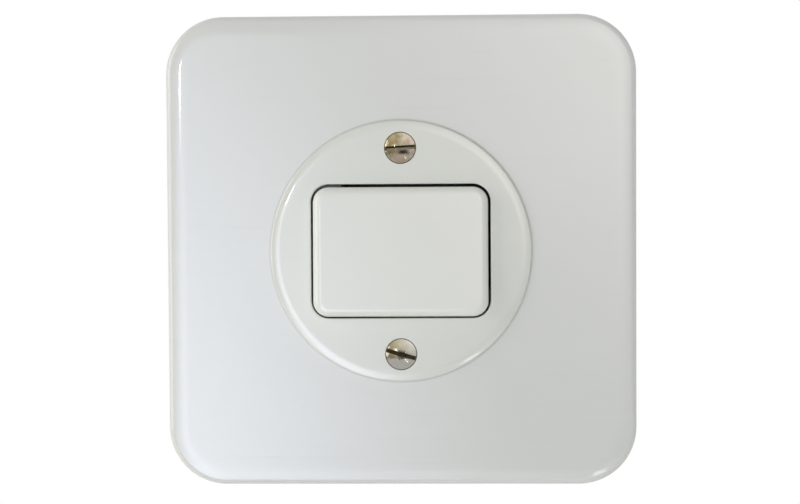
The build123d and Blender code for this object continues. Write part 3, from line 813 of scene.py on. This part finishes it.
@dataclass
class FrontDisc:
    """The moulded front: a thin bevelled disc with the rocker's opening, a skirt, two bosses and corner pads."""

    radius: float = 32.25
    seat: float = 8.0
    front: float = 9.1
    bevel_width: float = 1.7
    bevel_drop: float = 0.4
    break_radius: float = 7.0
    edge: float = 0.63
    seat_edge: float = 0.06
    web_radius: float = 29.68
    seat_radius: float = 31.9
    opening: Triple = (44.2, 33.0, 4.4)
    opening_edge: float = 0.3
    skirt_wall: float = 1.9
    skirt_rear: float = -5.956
    boss: float = 5.0
    boss_rear: float = 6.9
    hole: float = 2.25
    mouth: float = 3.95
    mouth_edge: float = 0.12
    pad: float = 7.0
    pad_corner: float = 0.4
    pad_edge: float = 0.15
    pad_front: float = -2.456
    pad_hole: float = 1.5
    pad_hole_end: float = -3.056

    def build(self) -> Object:
        """Make the disc: its rim, skirt and bosses as swept sections, joined by flat webs front and back.

        Returns:
            Its object.
        """
        skin = Skin()
        rim = ring(180)
        skin.sweep(rim, [
            (self.web_radius, self.front, 0),
            (self.radius - self.bevel_width, self.front, self.break_radius),
            (self.radius, self.front - self.bevel_drop, self.edge),
            (self.radius, self.seat, self.seat_edge),
            (self.seat_radius, self.seat, 0),
        ], steps=10)
        width, height, corner = self.opening
        frame_line = rounded_rectangle(width / 2, height / 2, corner, run=16, turn=12)
        web = corner + 2 * self.opening_edge
        root = corner + self.skirt_wall
        skin.sweep(frame_line, [
            (root + MARGIN, self.seat, 0),
            (root, self.seat, BREAK),
            (root, self.skirt_rear, SOFT),
            (corner, self.skirt_rear, SOFT),
            (corner, self.front, self.opening_edge),
            (web, self.front, 0),
        ], steps=5)
        fronts, seats = [loop_at(frame_line, web)], [loop_at(frame_line, root + MARGIN)]
        for side in (1, -1):
            boss = ring(60, (0, side * SCREW_SPACING / 2))
            skin.sweep(boss, [
                (self.boss + MARGIN, self.seat, 0),
                (self.boss, self.seat, BREAK),
                (self.boss, self.boss_rear, SOFT),
                (self.hole, self.boss_rear, BREAK),
                (self.hole, self.front - self.mouth + self.hole, BREAK),
                (self.mouth, self.front, self.mouth_edge),
                (self.mouth + MARGIN, self.front, 0),
            ], steps=4)
            fronts.append(loop_at(boss, self.mouth + MARGIN))
            seats.append(loop_at(boss, self.boss + MARGIN))
            self.corner_pad(skin, side)
        skin.flat([loop_at(rim, self.web_radius), *fronts], self.front, True)
        skin.flat([loop_at(rim, self.seat_radius), *seats], self.seat, False)
        return show(skin.mesh("moulded_front"), UREA, Body.HOUSING, "white_moulding", "front_disc")

    def corner_pad(self, skin: Skin, side: int) -> None:
        """Add a block with a blind screw hole in one corner of the skirt.

        Args:
            skin: the disc's surface so far.
            side: 1 for the upper left corner and -1 for the lower right.
        """
        width, height, _ = self.opening
        centre = np.array([-side * (width - self.pad) / 2, side * (height - self.pad) / 2])
        spine, direction = rounded_rectangle(self.pad / 2, self.pad / 2, self.pad_corner, run=4, turn=4)
        block = (spine + centre, direction)
        hole = ring(32, tuple(centre))
        skin.sweep(block, [
            (INSET, self.pad_front, 0),
            (self.pad_corner, self.pad_front, self.pad_edge),
            (self.pad_corner, self.skirt_rear, BREAK),
            (INSET, self.skirt_rear, 0),
        ], steps=3)
        skin.sweep(hole, [
            (self.pad_hole + MARGIN, self.skirt_rear, 0),
            (self.pad_hole, self.skirt_rear, BREAK),
            (self.pad_hole, self.pad_hole_end, BREAK),
            (0.0, self.pad_hole_end, 0),
        ], steps=3)
        skin.flat([loop_at(block, INSET)], self.pad_front, True)
        skin.flat([loop_at(block, INSET), loop_at(hole, self.pad_hole + MARGIN)], self.skirt_rear, False)


@dataclass
class RockerLever:
    """The rocker, drawn switched off with its upper edge pressed in, and the spring in its stem."""

    pivot: float = 6.3
    tilt_deg: float = 2.0
    size: Triple = (43.04, 31.84, 3.82)
    face: float = 6.1
    face_shift: float = -0.213
    rear: float = -3.2
    draft_inset: float = 0.162
    edge: float = 2.0
    wall: float = 1.8
    web_inset: float = 3.2
    inner_edge: float = 0.4
    rib: Pair = (1.2, 1.4)
    rib_corner: float = 0.3
    rib_edge: float = 0.15
    root: float = 0.3
    stem: float = 3.0
    stem_rear: float = -12.5
    stem_edge: float = 0.25
    bore: float = 1.6
    bore_edge: float = 0.15
    bore_end: float = -2.5
    coil: float = 1.31
    wire: float = 0.17
    coil_span: Pair = (-9.23, -2.77)
    turns: int = 5
    coil_steps: int = 36
    wire_steps: int = 14
    squeeze: float = 0.8

    def placing(self) -> Placing:
        """Axes on the pin's line, leaning with the rocker, whose face looks slightly up.

        Returns:
            The axes that the rocker and its spring are drawn in.
        """
        lean = math.radians(self.tilt_deg)
        up, out = (0, math.sin(lean), math.cos(lean)), (0, -math.cos(lean), math.sin(lean))
        return Placing((0, -self.pivot, 0), (1, 0, 0), up, out)

    def build(self) -> list[Object]:
        """Make the rocker and its spring, and return their objects."""
        return [self.cap(), self.spring()]

    def cap(self) -> Object:
        """Make the rocker: a drafted hollow cap, crossed ribs and a bored stem, as swept sections.

        The ribs and the stem are closed shells that reach into the cap by the root's depth.

        Returns:
            Its object.
        """
        skin = Skin(self.placing())
        width, height, corner = self.size
        spine, direction = rounded_rectangle(width / 2, height / 2, corner, run=18, turn=12)
        outline = (spine + [0, self.face_shift], direction)
        ceiling = self.face - self.wall
        root = ceiling + self.root
        web = corner - self.web_inset
        skin.sweep(outline, [
            (web, self.face, 0),
            (corner, self.face, self.edge),
            (corner - self.draft_inset, self.rear, SOFT),
            (corner - self.wall, self.rear, SOFT),
            (corner - self.wall, ceiling, self.inner_edge),
            (web, ceiling, 0),
        ], steps=12)
        skin.flat([loop_at(outline, web)], self.face, True)
        skin.flat([loop_at(outline, web)], ceiling, False)
        thickness, depth = self.rib
        for across, along in ((width - self.wall, thickness), (thickness, height - self.wall)):
            spine, direction = rounded_rectangle(across / 2, along / 2, self.rib_corner, run=6, turn=3)
            rib = (spine + [0, self.face_shift], direction)
            skin.sweep(rib, [
                (INSET, root, 0),
                (self.rib_corner, root, BREAK),
                (self.rib_corner, ceiling - depth, self.rib_edge),
                (INSET, ceiling - depth, 0),
            ], steps=3)
            skin.flat([loop_at(rib, INSET)], root, True)
            skin.flat([loop_at(rib, INSET)], ceiling - depth, False)
        skin.sweep(ring(48), [
            (0, root, 0),
            (self.stem, root, BREAK),
            (self.stem, self.stem_rear, self.stem_edge),
            (self.bore, self.stem_rear, self.bore_edge),
            (self.bore, self.bore_end, BREAK),
            (0, self.bore_end, 0),
        ], steps=4)
        return show(skin.mesh("rocker_cap"), ROCKER_UREA_PAINTED_LIGHTER, Body.ROCKER, "white_moulding", "rocker")

    def spring(self) -> Object:
        """Make the coil: a round wire carried along a helix, with both ends closed.

        A point is the helix's point + wire radius * (cos b * radial + sin b * (tangent x radial)).

        Returns:
            Its object.
        """
        axes = self.placing()
        skin = Skin(axes)
        low, high = self.coil_span
        steps = self.coil_steps * self.turns
        share = np.linspace(0, 1, steps + 1)
        angle = 2 * math.pi * self.turns * share
        radial = np.stack([np.cos(angle), np.sin(angle), np.zeros_like(angle)], -1)
        line = self.coil * radial + np.stack([0 * angle, 0 * angle, low + (high - low) * share], -1)
        climb = (high - low) / (2 * math.pi * self.turns * self.coil)
        forward = np.stack([-np.sin(angle), np.cos(angle), np.full_like(angle, climb)], -1)
        forward /= np.linalg.norm(forward, axis=1, keepdims=True)
        side = np.cross(forward, radial)
        bend = ring(self.wire_steps)[1]
        offset = bend[:, :1] * radial[:, None] + bend[:, 1:] * side[:, None]
        thick = np.concatenate([[0.0], np.full(steps + 1, self.wire), [0.0]])
        rows = np.concatenate([[0], np.arange(steps + 1), [steps]])
        skin.grid((line[rows][:, None] + thick[:, None, None] * offset[rows])[::-1])
        piece = show(skin.mesh("coil_spring"), SPRING_STEEL, Body.ROCKER, "spring_steel", "rocker_spring")
        anchor = axes.metres(np.array([0, 0, self.bore_end]))
        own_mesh(piece)
        return piece


class Head(Enum):
    """The kinds of screw head."""

    RAISED = "raised countersunk"
    CHEESE = "cheese"


@dataclass
class SlottedScrew:
    """One slotted screw about its own axis; heights run out through the head from its seat."""

    placing: Placing
    head: Head
    head_radius: float
    head_height: float
    shank: float
    length: float
    slot_width: float
    slot_depth: float
    pitch: float
    turn_deg: float = 0.0
    lip: float = 0.08
    wear: float = 0.0
    land: float = 0.15
    end_edge: float = 0.25
    under_head: float = 0.05
    thread_share: float = 0.55
    thread_power: float = 1.2
    thread_rows: int = 10
    plain_shank: Pair = (0.4, 0.3)
    columns: int = 48
    dome_steps: int = 22
    slot_rows: int = 61
    past_head: float = 0.6
    above_head: float = 0.5
    lip_from_deg: float = 15.0
    lip_steps: int = 6
    ragged_waves: tuple[Triple, ...] = ((0.35, 9.0, 0.0), (0.25, 17.0, 1.0))
    worn_left: Pair = (-0.5, 0.9)
    worn_right: Pair = (0.4, 0.8)
    sharp_deg: float = 38.0

    def sphere(self) -> float:
        """The radius of the sphere that a raised head's dome is cut from."""
        return (self.head_radius**2 + self.head_height**2) / (2 * self.head_height)

    def profile(self) -> np.ndarray:
        """The section from the middle of the head to the tip of the shank.

        Returns:
            Radius and height, of shape (n, 2).
        """
        tip = [(self.shank, -self.length, self.end_edge), (0, -self.length, 0)]
        if self.head is Head.CHEESE:
            return rounded_profile([
                (0, self.head_height, 0),
                (self.head_radius, self.head_height, self.end_edge),
                (self.head_radius, 0, BREAK),
                (self.shank, 0, self.under_head),
                *tip,
            ], steps=5)
        sphere = self.sphere()
        turn = np.linspace(0, math.asin(self.head_radius / sphere), self.dome_steps)
        dome = np.stack([sphere * np.sin(turn), sphere * np.cos(turn) - sphere + self.head_height], -1)
        side = rounded_profile([
            (self.head_radius, -HAIR, 0),
            (self.head_radius, -self.land, self.under_head),
            (self.shank, -self.land - self.head_radius + self.shank, BREAK),
            *tip,
        ], steps=4)
        return np.concatenate([dome, side])

    def threaded(self) -> np.ndarray:
        """The turned screw with a thread cut into its shank.

        The thread's depth is a rounded saw of (height / pitch - angle / one turn), and it fades out at both
        ends of the shank.

        Returns:
            Points of shape (rows, columns, 3).
        """
        profile = self.profile()
        top = profile[profile[:, 0] > self.shank + HAIR][-1, 1] - self.plain_shank[0]
        bottom = -self.length + self.plain_shank[1]
        rows = np.linspace(top, bottom, int((top - bottom) / self.pitch * self.thread_rows))
        above, below = profile[profile[:, 1] > top], profile[profile[:, 1] < bottom]
        section = np.concatenate([above, np.stack([np.full_like(rows, self.shank), rows], -1), below])
        angle = np.linspace(0, 2 * math.pi, self.columns, endpoint=False)
        height = section[:, 1:2]
        phase = (height / self.pitch - angle / (2 * math.pi)) % 1.0
        fade = np.clip(np.minimum(top - height, height - bottom) / self.pitch, 0, 1)
        cut = self.thread_share * self.pitch * fade * (1 - np.abs(2 * phase - 1)) ** self.thread_power
        radius = section[:, :1] - np.where((height <= top) & (height >= bottom), cut, 0.0)
        across, up = radius * np.cos(angle), radius * np.sin(angle)
        return np.stack([across, up, np.broadcast_to(height, radius.shape)], -1)

    def cutter(self) -> np.ndarray:
        """The slot's shape: a section with rounded lips that follows the head's dome along the slot.

        Each lip is an arc that ends where the slot's wall begins. Wear widens a lip to lip * (1 + wear * ragged *
        bell): ragged is 1 + a sum of sines along the slot, and bell a bell curve with the lip's middle and width.

        Returns:
            Points of shape (rows, columns, 3).
        """
        reach = self.head_radius + self.past_head
        along = np.linspace(-reach, reach, self.slot_rows)[:, None]
        crest = np.full_like(along, self.head_height)
        if self.head is Head.RAISED:
            sphere = self.sphere()
            crest = np.sqrt(np.maximum(sphere**2 - along**2, 0)) - sphere + self.head_height
        ragged = sum((tall * np.sin(rate * along + phase) for tall, rate, phase in self.ragged_waves), start=1.0)
        left, right = (
            self.lip * (1 + self.wear * rough * np.exp(-(((along - middle) / width) ** 2)))
            for rough, (middle, width) in ((ragged, self.worn_left), (ragged[::-1], self.worn_right))
        )
        bend = np.radians(np.linspace(self.lip_from_deg, 90, self.lip_steps))
        half = self.slot_width / 2
        floor = np.full_like(along, self.head_height - self.slot_depth)
        roof = np.full_like(along, self.head_height + self.above_head)
        across = np.concatenate([
            -half - left * (1 - np.sin(bend[0])), -half - left * (1 - np.sin(bend)), -half + 0 * along,
            half + 0 * along, half + right * (1 - np.sin(bend[::-1])), half + right * (1 - np.sin(bend[0])),
        ], 1)
        high = np.concatenate([
            roof, crest - left * (1 - np.cos(bend)), floor,
            floor, crest - right * (1 - np.cos(bend[::-1])), roof,
        ], 1)
        shape = np.stack([np.broadcast_to(along, across.shape), across, high], -1)
        ends = shape.mean(1, keepdims=True)[[0, -1]] + np.zeros((2, shape.shape[1], 1))
        shape = np.concatenate([ends[:1], shape, ends[1:]])
        turn = math.radians(self.turn_deg)
        cos, sin = math.cos(turn), math.sin(turn)
        return shape @ np.array([[cos, sin, 0], [-sin, cos, 0], [0, 0, 1]])

    def mesh(self) -> Mesh:
        """Turn the screw and cut its slot.

        Returns:
            The finished mesh.
        """
        pair = []
        for name, shape in (("blank", self.threaded()), ("tool", self.cutter())):
            skin = Skin(self.placing)
            skin.grid(shape)
            pair.append(add_object(name, skin.mesh(name)))
        blank, tool = pair
        with editing(tool.data) as work:
            bmesh.ops.recalc_face_normals(work, faces=work.faces)
        cut = blank.modifiers.new("slot", "BOOLEAN")
        cut.object, cut.operation, cut.solver = tool, "DIFFERENCE", "EXACT"
        bpy.context.view_layer.update()
        seen = blank.evaluated_get(bpy.context.evaluated_depsgraph_get())
        mesh = bpy.data.meshes.new_from_object(seen)
        for one in pair:
            bpy.data.objects.remove(one)
        mesh.shade_smooth()
        mesh.set_sharp_from_angle(angle=math.radians(self.sharp_deg))
        return mesh


def join_screws(name: str, screws: Sequence[SlottedScrew], finish: Finish, slot: str, node: str) -> Object:
    """Make one piece of several screws that share a node.

    Args:
        name: the piece's name.
        screws: the screws.
        finish: what they are made of.
        slot: the record's material slot.
        node: the CAD node that they stand for.

    Returns:
        The piece's object.
    """
    mesh = bpy.data.meshes.new(name)
    with editing(mesh) as work:
        for screw in screws:
            work.from_mesh(screw.mesh())
    return show(mesh, finish, Body.HOUSING, slot, node)


@dataclass
class Screws:
    """Every screw of the switch, by where it is driven from."""

    front: float = 9.1
    turns: Pair = (3.5, -16.0)
    wear: Pair = (0.5, 5.0)
    terminal_rear: float = -25.607
    wire_bore: float = 6.5
    terminal_z: float = 11.35
    terminal_height: float = 9.0
    backed_out: float = 0.5
    clamp_turn: float = 20.0
    shelf_rear: float = -17.107
    pad: Pair = (18.6, 13.0)
    base_turn: float = 35.0
    earth_x: float = -29.1
    earth_seat: float = 2.8
    earth_turn: float = 50.0

    def build(self) -> list[Object]:
        """Make the four groups of screws.

        Returns:
            Their objects.
        """
        fronts = [
            SlottedScrew(
                Placing((0, -self.front, side * SCREW_SPACING / 2), FRONT.across, FRONT.up, FRONT.out),
                Head.RAISED, head_radius=3.75, head_height=0.85, shank=1.95, length=9.6, slot_width=1.0,
                slot_depth=1.35, pitch=0.7, turn_deg=turn, lip=0.07, wear=wear,
            )
            for side, turn, wear in zip((1, -1), self.turns, self.wear)
        ]
        seat = self.terminal_z + self.terminal_height / 2 + self.backed_out
        clamp_y = -self.terminal_rear - self.wire_bore / 2
        clamps = [
            SlottedScrew(
                Placing((0, clamp_y, side * seat), (1, 0, 0), (0, -side, 0), (0, 0, side)),
                Head.CHEESE, head_radius=2.8, head_height=1.6, shank=1.65, length=3.1, slot_width=0.8,
                slot_depth=0.8, pitch=0.6, turn_deg=self.clamp_turn * side,
            )
            for side in (1, -1)
        ]
        from_behind = ((1, 0, 0), (0, 0, -1), (0, 1, 0))
        bases = [
            SlottedScrew(
                Placing((-side * self.pad[0], -self.shelf_rear, side * self.pad[1]), *from_behind),
                Head.CHEESE, head_radius=2.6, head_height=1.9, shank=1.45, length=13.851, slot_width=0.8,
                slot_depth=0.95, pitch=0.8, turn_deg=self.base_turn * side,
            )
            for side in (1, -1)
        ]
        earth = SlottedScrew(
            Placing((self.earth_x, -self.earth_seat, 0), *from_behind),
            Head.CHEESE, head_radius=3.0, head_height=2.2, shank=1.7, length=3.7, slot_width=0.9,
            slot_depth=1.1, pitch=0.7, turn_deg=self.earth_turn,
        )
        return [
            join_screws(SCREWS, fronts, NICKEL, "plated_screw", "front_screws"),
            join_screws("wire_clamp_screws", clamps, ZINC_SCREW, "small_screw", "terminal_screws"),
            join_screws("base_joining_screws", bases, ZINC_SCREW, "small_screw", "base_screws"),
            join_screws("earth_brass_screw", [earth], BRASS, "brass", "earth_screw"),
        ]


@dataclass
class Works:
    """The pieces whose CAD shape is right: merged copies with their edges broken, in their own finishes."""

    weld: float = 2e-6
    flat_deg: float = 0.4
    sharp_deg: float = 32.0
    break_mm: float = 0.12
    break_deg: float = 40.0

    def build(self) -> list[Object]:
        """Make each piece.

        Returns:
            Their objects.
        """
        plan = [
            ("pressed_yoke", "yoke", ZINC_STRIP, Body.HOUSING, "zinc_plated_steel"),
            ("phenolic_base", "switch_base", PHENOLIC, Body.HOUSING, "dark_moulding"),
            ("switched_brass_block", "switched_terminal", BRASS, Body.HOUSING, "brass"),
            ("common_brass_block", "common_terminal", BRASS, Body.HOUSING, "brass"),
            ("common_strip", "common_contact", BRASS, Body.HOUSING, "brass"),
            ("switched_strip", "switched_contact", BRASS, Body.HOUSING, "brass"),
            ("fixed_silver_tip", "fixed_contact_tip", SILVER, Body.HOUSING, "silver"),
            ("earth_washer", "earth_clamp_washer", BRASS, Body.HOUSING, "brass"),
            ("see_saw_blade", "moving_contact", COPPER, Body.SEE_SAW, "copper_alloy"),
            ("moving_silver_tip", "moving_contact_tip", SILVER, Body.SEE_SAW, "silver"),
            ("nylon_plunger", "spring_plunger", NYLON, Body.PLUNGER, "natural_nylon"),
            ("steel_pin", "pivot_pin", BRIGHT_STEEL, Body.ROCKER, "bright_steel"),
        ]
        return [self.copy(*row) for row in plan]

    def copy(self, name: str, node: str, finish: Finish, body: Body, slot: str) -> Object:
        """Copy a CAD node, merge its loose triangles and break its edges.

        Args:
            name: the piece's name.
            node: the CAD node.
            finish: what it is made of.
            body: the body that it moves with.
            slot: the record's material slot.

        Returns:
            The piece's object.
        """
        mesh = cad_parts[node].data.copy()
        mesh.name = name
        flat = math.radians(self.flat_deg)
        with editing(mesh) as work:
            bmesh.ops.remove_doubles(work, verts=work.verts, dist=self.weld)
            bmesh.ops.dissolve_limit(
                work, angle_limit=flat, verts=work.verts, edges=work.edges, delimit={"NORMAL"}
            )
        mesh.shade_smooth()
        mesh.set_sharp_from_angle(angle=math.radians(self.sharp_deg))
        piece = show(mesh, finish, body, slot, node)
        edge = piece.modifiers.new("broken_edges", "BEVEL")
        edge.width, edge.segments, edge.limit_method = self.break_mm * MM, 2, "ANGLE"
        edge.angle_limit, edge.harden_normals = math.radians(self.break_deg), True
        return piece


@dataclass(frozen=True)
class Lamp:
    """A lamp: where it hangs, its size in metres and its radiance; a soft one fades to nothing at its edge."""

    name: str
    place: Triple
    size: Pair
    radiance: float
    colour: str = "ffffff"
    soft: bool = False
    flagged_off: str = ""

    def hang(self) -> None:
        """Hang the lamp so that it looks at the switch; its power is radiance * area * pi.

        A soft lamp's glow is a smooth step of the distance from its middle, as through a diffusing cloth. A flag
        keeps it off the piece that it would blot out.
        """
        light = bpy.data.lights.new(self.name, "AREA")
        light.shape = "RECTANGLE"
        light.size, light.size_y = self.size
        light.energy = self.radiance * self.size[0] * self.size[1] * math.pi
        light.color = linear(self.colour)[:3]
        light.use_nodes = True
        light.node_tree.nodes.clear()
        add = partial(add_node, light.node_tree)
        glow = {}
        if self.soft:
            across = add("NewGeometry").outputs["Parametric"]
            off = add("VectorMath", (across, (0.5, 0.5, 0.0)), operation="DISTANCE")
            glow["Strength"] = add("MapRange", (off, 0.0, 0.5, 1.0, 0.0), **SMOOTH)
        add("OutputLight", {"Surface": add("Emission", glow)})
        lamp = add_object(self.name, light)
        lamp.location = self.place
        lamp.rotation_euler = Vector(self.place).to_track_quat("Z", "Y").to_euler()
        lamp.visible_camera = False
        if self.flagged_off:
            shaded = bpy.data.collections.new(f"{self.name}_flag")
            shaded.objects.link(bpy.data.objects[self.flagged_off])
            shaded.collection_objects[0].light_linking.link_state = "EXCLUDE"
            lamp.light_linking.receiver_collection = shaded


@dataclass
class Studio:
    """The camera at the photograph's place, the lamps, a pale floor below and a white world behind."""

    distance: float = 453.9
    shift: Pair = (0.29, 0.32)
    yaw_deg: float = -2.06
    pitch_deg: float = 2.26
    roll_deg: float = -0.35
    plate_plane: float = 5.8
    focal_px: float = 1832.7
    image_width: int = 800
    sensor: float = 36.0
    near_clip: float = 0.01
    floor_z: float = -0.35
    floor_radius: float = 1.1
    floor_edge_mm: Pair = (30.0, 60.0)
    ambient: float = 0.15
    surround: str = "ececea"
    surround_from: Pair = (-0.4, 0.05)
    wall_left: str = "b5aa84"
    wall_right: str = "f4f4f2"
    walls_from: Pair = (-0.6, 0.6)
    light_from: Pair = (-0.5, 0.5)
    light: Pair = (0.4, 1.3)
    figure: str = "28292d"
    figure_way: Triple = (0.14, -0.91, -0.385)
    figure_deg: Pair = (12.0, 25.0)
    ground: str = "cdcdcb"
    horizon: Pair = (-0.29, -0.34)

    def build(self) -> None:
        """Set up the camera, floor, world and lamps."""
        bpy.context.scene.view_settings.view_transform = "Standard"
        self.camera()
        self.floor()
        self.world()
        for lamp in (
            Lamp("window_far_left", (-1.2, -0.5, 0.22), (0.9, 1.0), 2.1, "fffaf0"),
            Lamp("small_key", (-0.32, -0.865, 0.104), (0.016, 0.066), 70.0),
            Lamp("key_tail", (-0.32, -0.865, 0.055), (0.016, 0.032), 6.0),
            Lamp("soft_panel_left", (-0.29, -1.0, -0.35), (0.8, 1.85), 6.5, "e0eaff", True, SCREWS),
            Lamp("soft_panel_right", (0.26, -1.0, 0.24), (0.86, 1.05), 2.9, "fff9f0", True, SCREWS),
            Lamp("small_low_right", (0.17, -0.567, -0.3235), (0.056, 0.042), 4.2),
        ):
            lamp.hang()

    def camera(self) -> None:
        """Stand the camera where the plate's outline in the photograph puts it.

        The fit gives view = turn * point + offset, so the camera stands at -turn' * offset, and its axes are
        the rows of the turn.
        """
        yaw, pitch, roll = (math.radians(a) for a in (self.yaw_deg, self.pitch_deg, self.roll_deg))
        turn = Matrix.Rotation(roll, 3, "Y") @ Matrix.Rotation(pitch, 3, "X") @ Matrix.Rotation(yaw, 3, "Z")
        offset = Vector((self.shift[0], self.distance, self.shift[1]))
        place = (turn.transposed() @ -offset + Vector((0, -self.plate_plane, 0))) * MM
        data = bpy.data.cameras.new("front_camera")
        data.sensor_width = self.sensor
        data.lens = self.focal_px / self.image_width * self.sensor
        data.clip_start = self.near_clip
        camera = add_object("front_camera", data)
        axes = Matrix((turn[0], turn[2], -turn[1])).transposed()
        camera.matrix_world = Matrix.Translation(place) @ axes.to_4x4()
        bpy.context.scene.camera = camera

    def floor(self) -> None:
        """Lay a round pale floor well below the switch, its edge turned down, and keep it out of reflections."""
        skin = Skin(Placing((0, 0, self.floor_z / MM), (1, 0, 0), (0, 1, 0), (0, 0, 1)))
        radius = self.floor_radius / MM
        bend, drop = self.floor_edge_mm
        skin.sweep(ring(96), [(0, 0, 0), (radius, 0, bend), (radius, -drop, 0)], steps=6)
        piece = add_object("pale_floor", skin.mesh("pale_floor"))
        piece.data.materials.append(FLOOR.material())
        piece.visible_glossy = False

    def world(self) -> None:
        """White to the camera; in reflections a plain room, lit from above, with a dark figure on a pale ground.

        The figure is a soft round patch: a smooth step of the cosine of the angle from its middle.
        """
        world = bpy.data.worlds.new("studio")
        bpy.context.scene.world = world
        world.use_nodes = True
        world.node_tree.nodes.clear()
        add = partial(add_node, world.node_tree)
        path = add("LightPath").outputs
        way = add("TexCoord").outputs["Generated"]
        split = add("SeparateXYZ", {0: way}).outputs
        aside = add("MapRange", (split["X"], *self.walls_from))
        walls = add("Mix", {SHARE: aside, UNDER: self.wall_left, OVER: self.wall_right}, **COLOURS)
        depth = add("MapRange", (split["Z"], *self.light_from, *self.light))
        room = add("Mix", {SHARE: 1.0, UNDER: walls, OVER: depth}, blend_type="MULTIPLY", **COLOURS)
        inner, outer = (math.cos(math.radians(a)) for a in self.figure_deg)
        along = add("VectorMath", (way, self.figure_way), operation="DOT_PRODUCT")
        patch = add("MapRange", (along, outer, inner), **SMOOTH)
        occupied = add("Mix", {SHARE: patch, UNDER: room, OVER: self.figure}, **COLOURS)
        below = add("MapRange", (split["Z"], *self.horizon))
        grounded = add("Mix", {SHARE: below, UNDER: occupied, OVER: self.ground}, **COLOURS)
        shiny = add("Math", (path["Is Glossy Ray"], path["Is Transmission Ray"]), operation="MAXIMUM")
        dim = (self.ambient, self.ambient, self.ambient, 1.0)
        lit = add("Mix", {SHARE: shiny, UNDER: dim, OVER: grounded}, **COLOURS)
        beside = add("MapRange", (split["Y"], *self.surround_from), **SMOOTH)
        around = add("Mix", {SHARE: beside, UNDER: lit, OVER: self.surround}, **COLOURS)
        seen = add("Mix", {SHARE: path["Is Camera Ray"], UNDER: around, OVER: "ffffff"}, **COLOURS)
        add("OutputWorld", {"Surface": add("Background", {"Color": seen})})


def main() -> None:
    """Build the switch piece by piece, and then the studio round it."""
    for assembly in (CoverPlate(), FrontDisc(), RockerLever(), Screws(), Works(), Studio()):
        assembly.build()
        LOG.info("%s done", type(assembly).__name__)


if __name__ == "__main__":
    logging.basicConfig(level=logging.INFO, format="%(message)s")
    main()
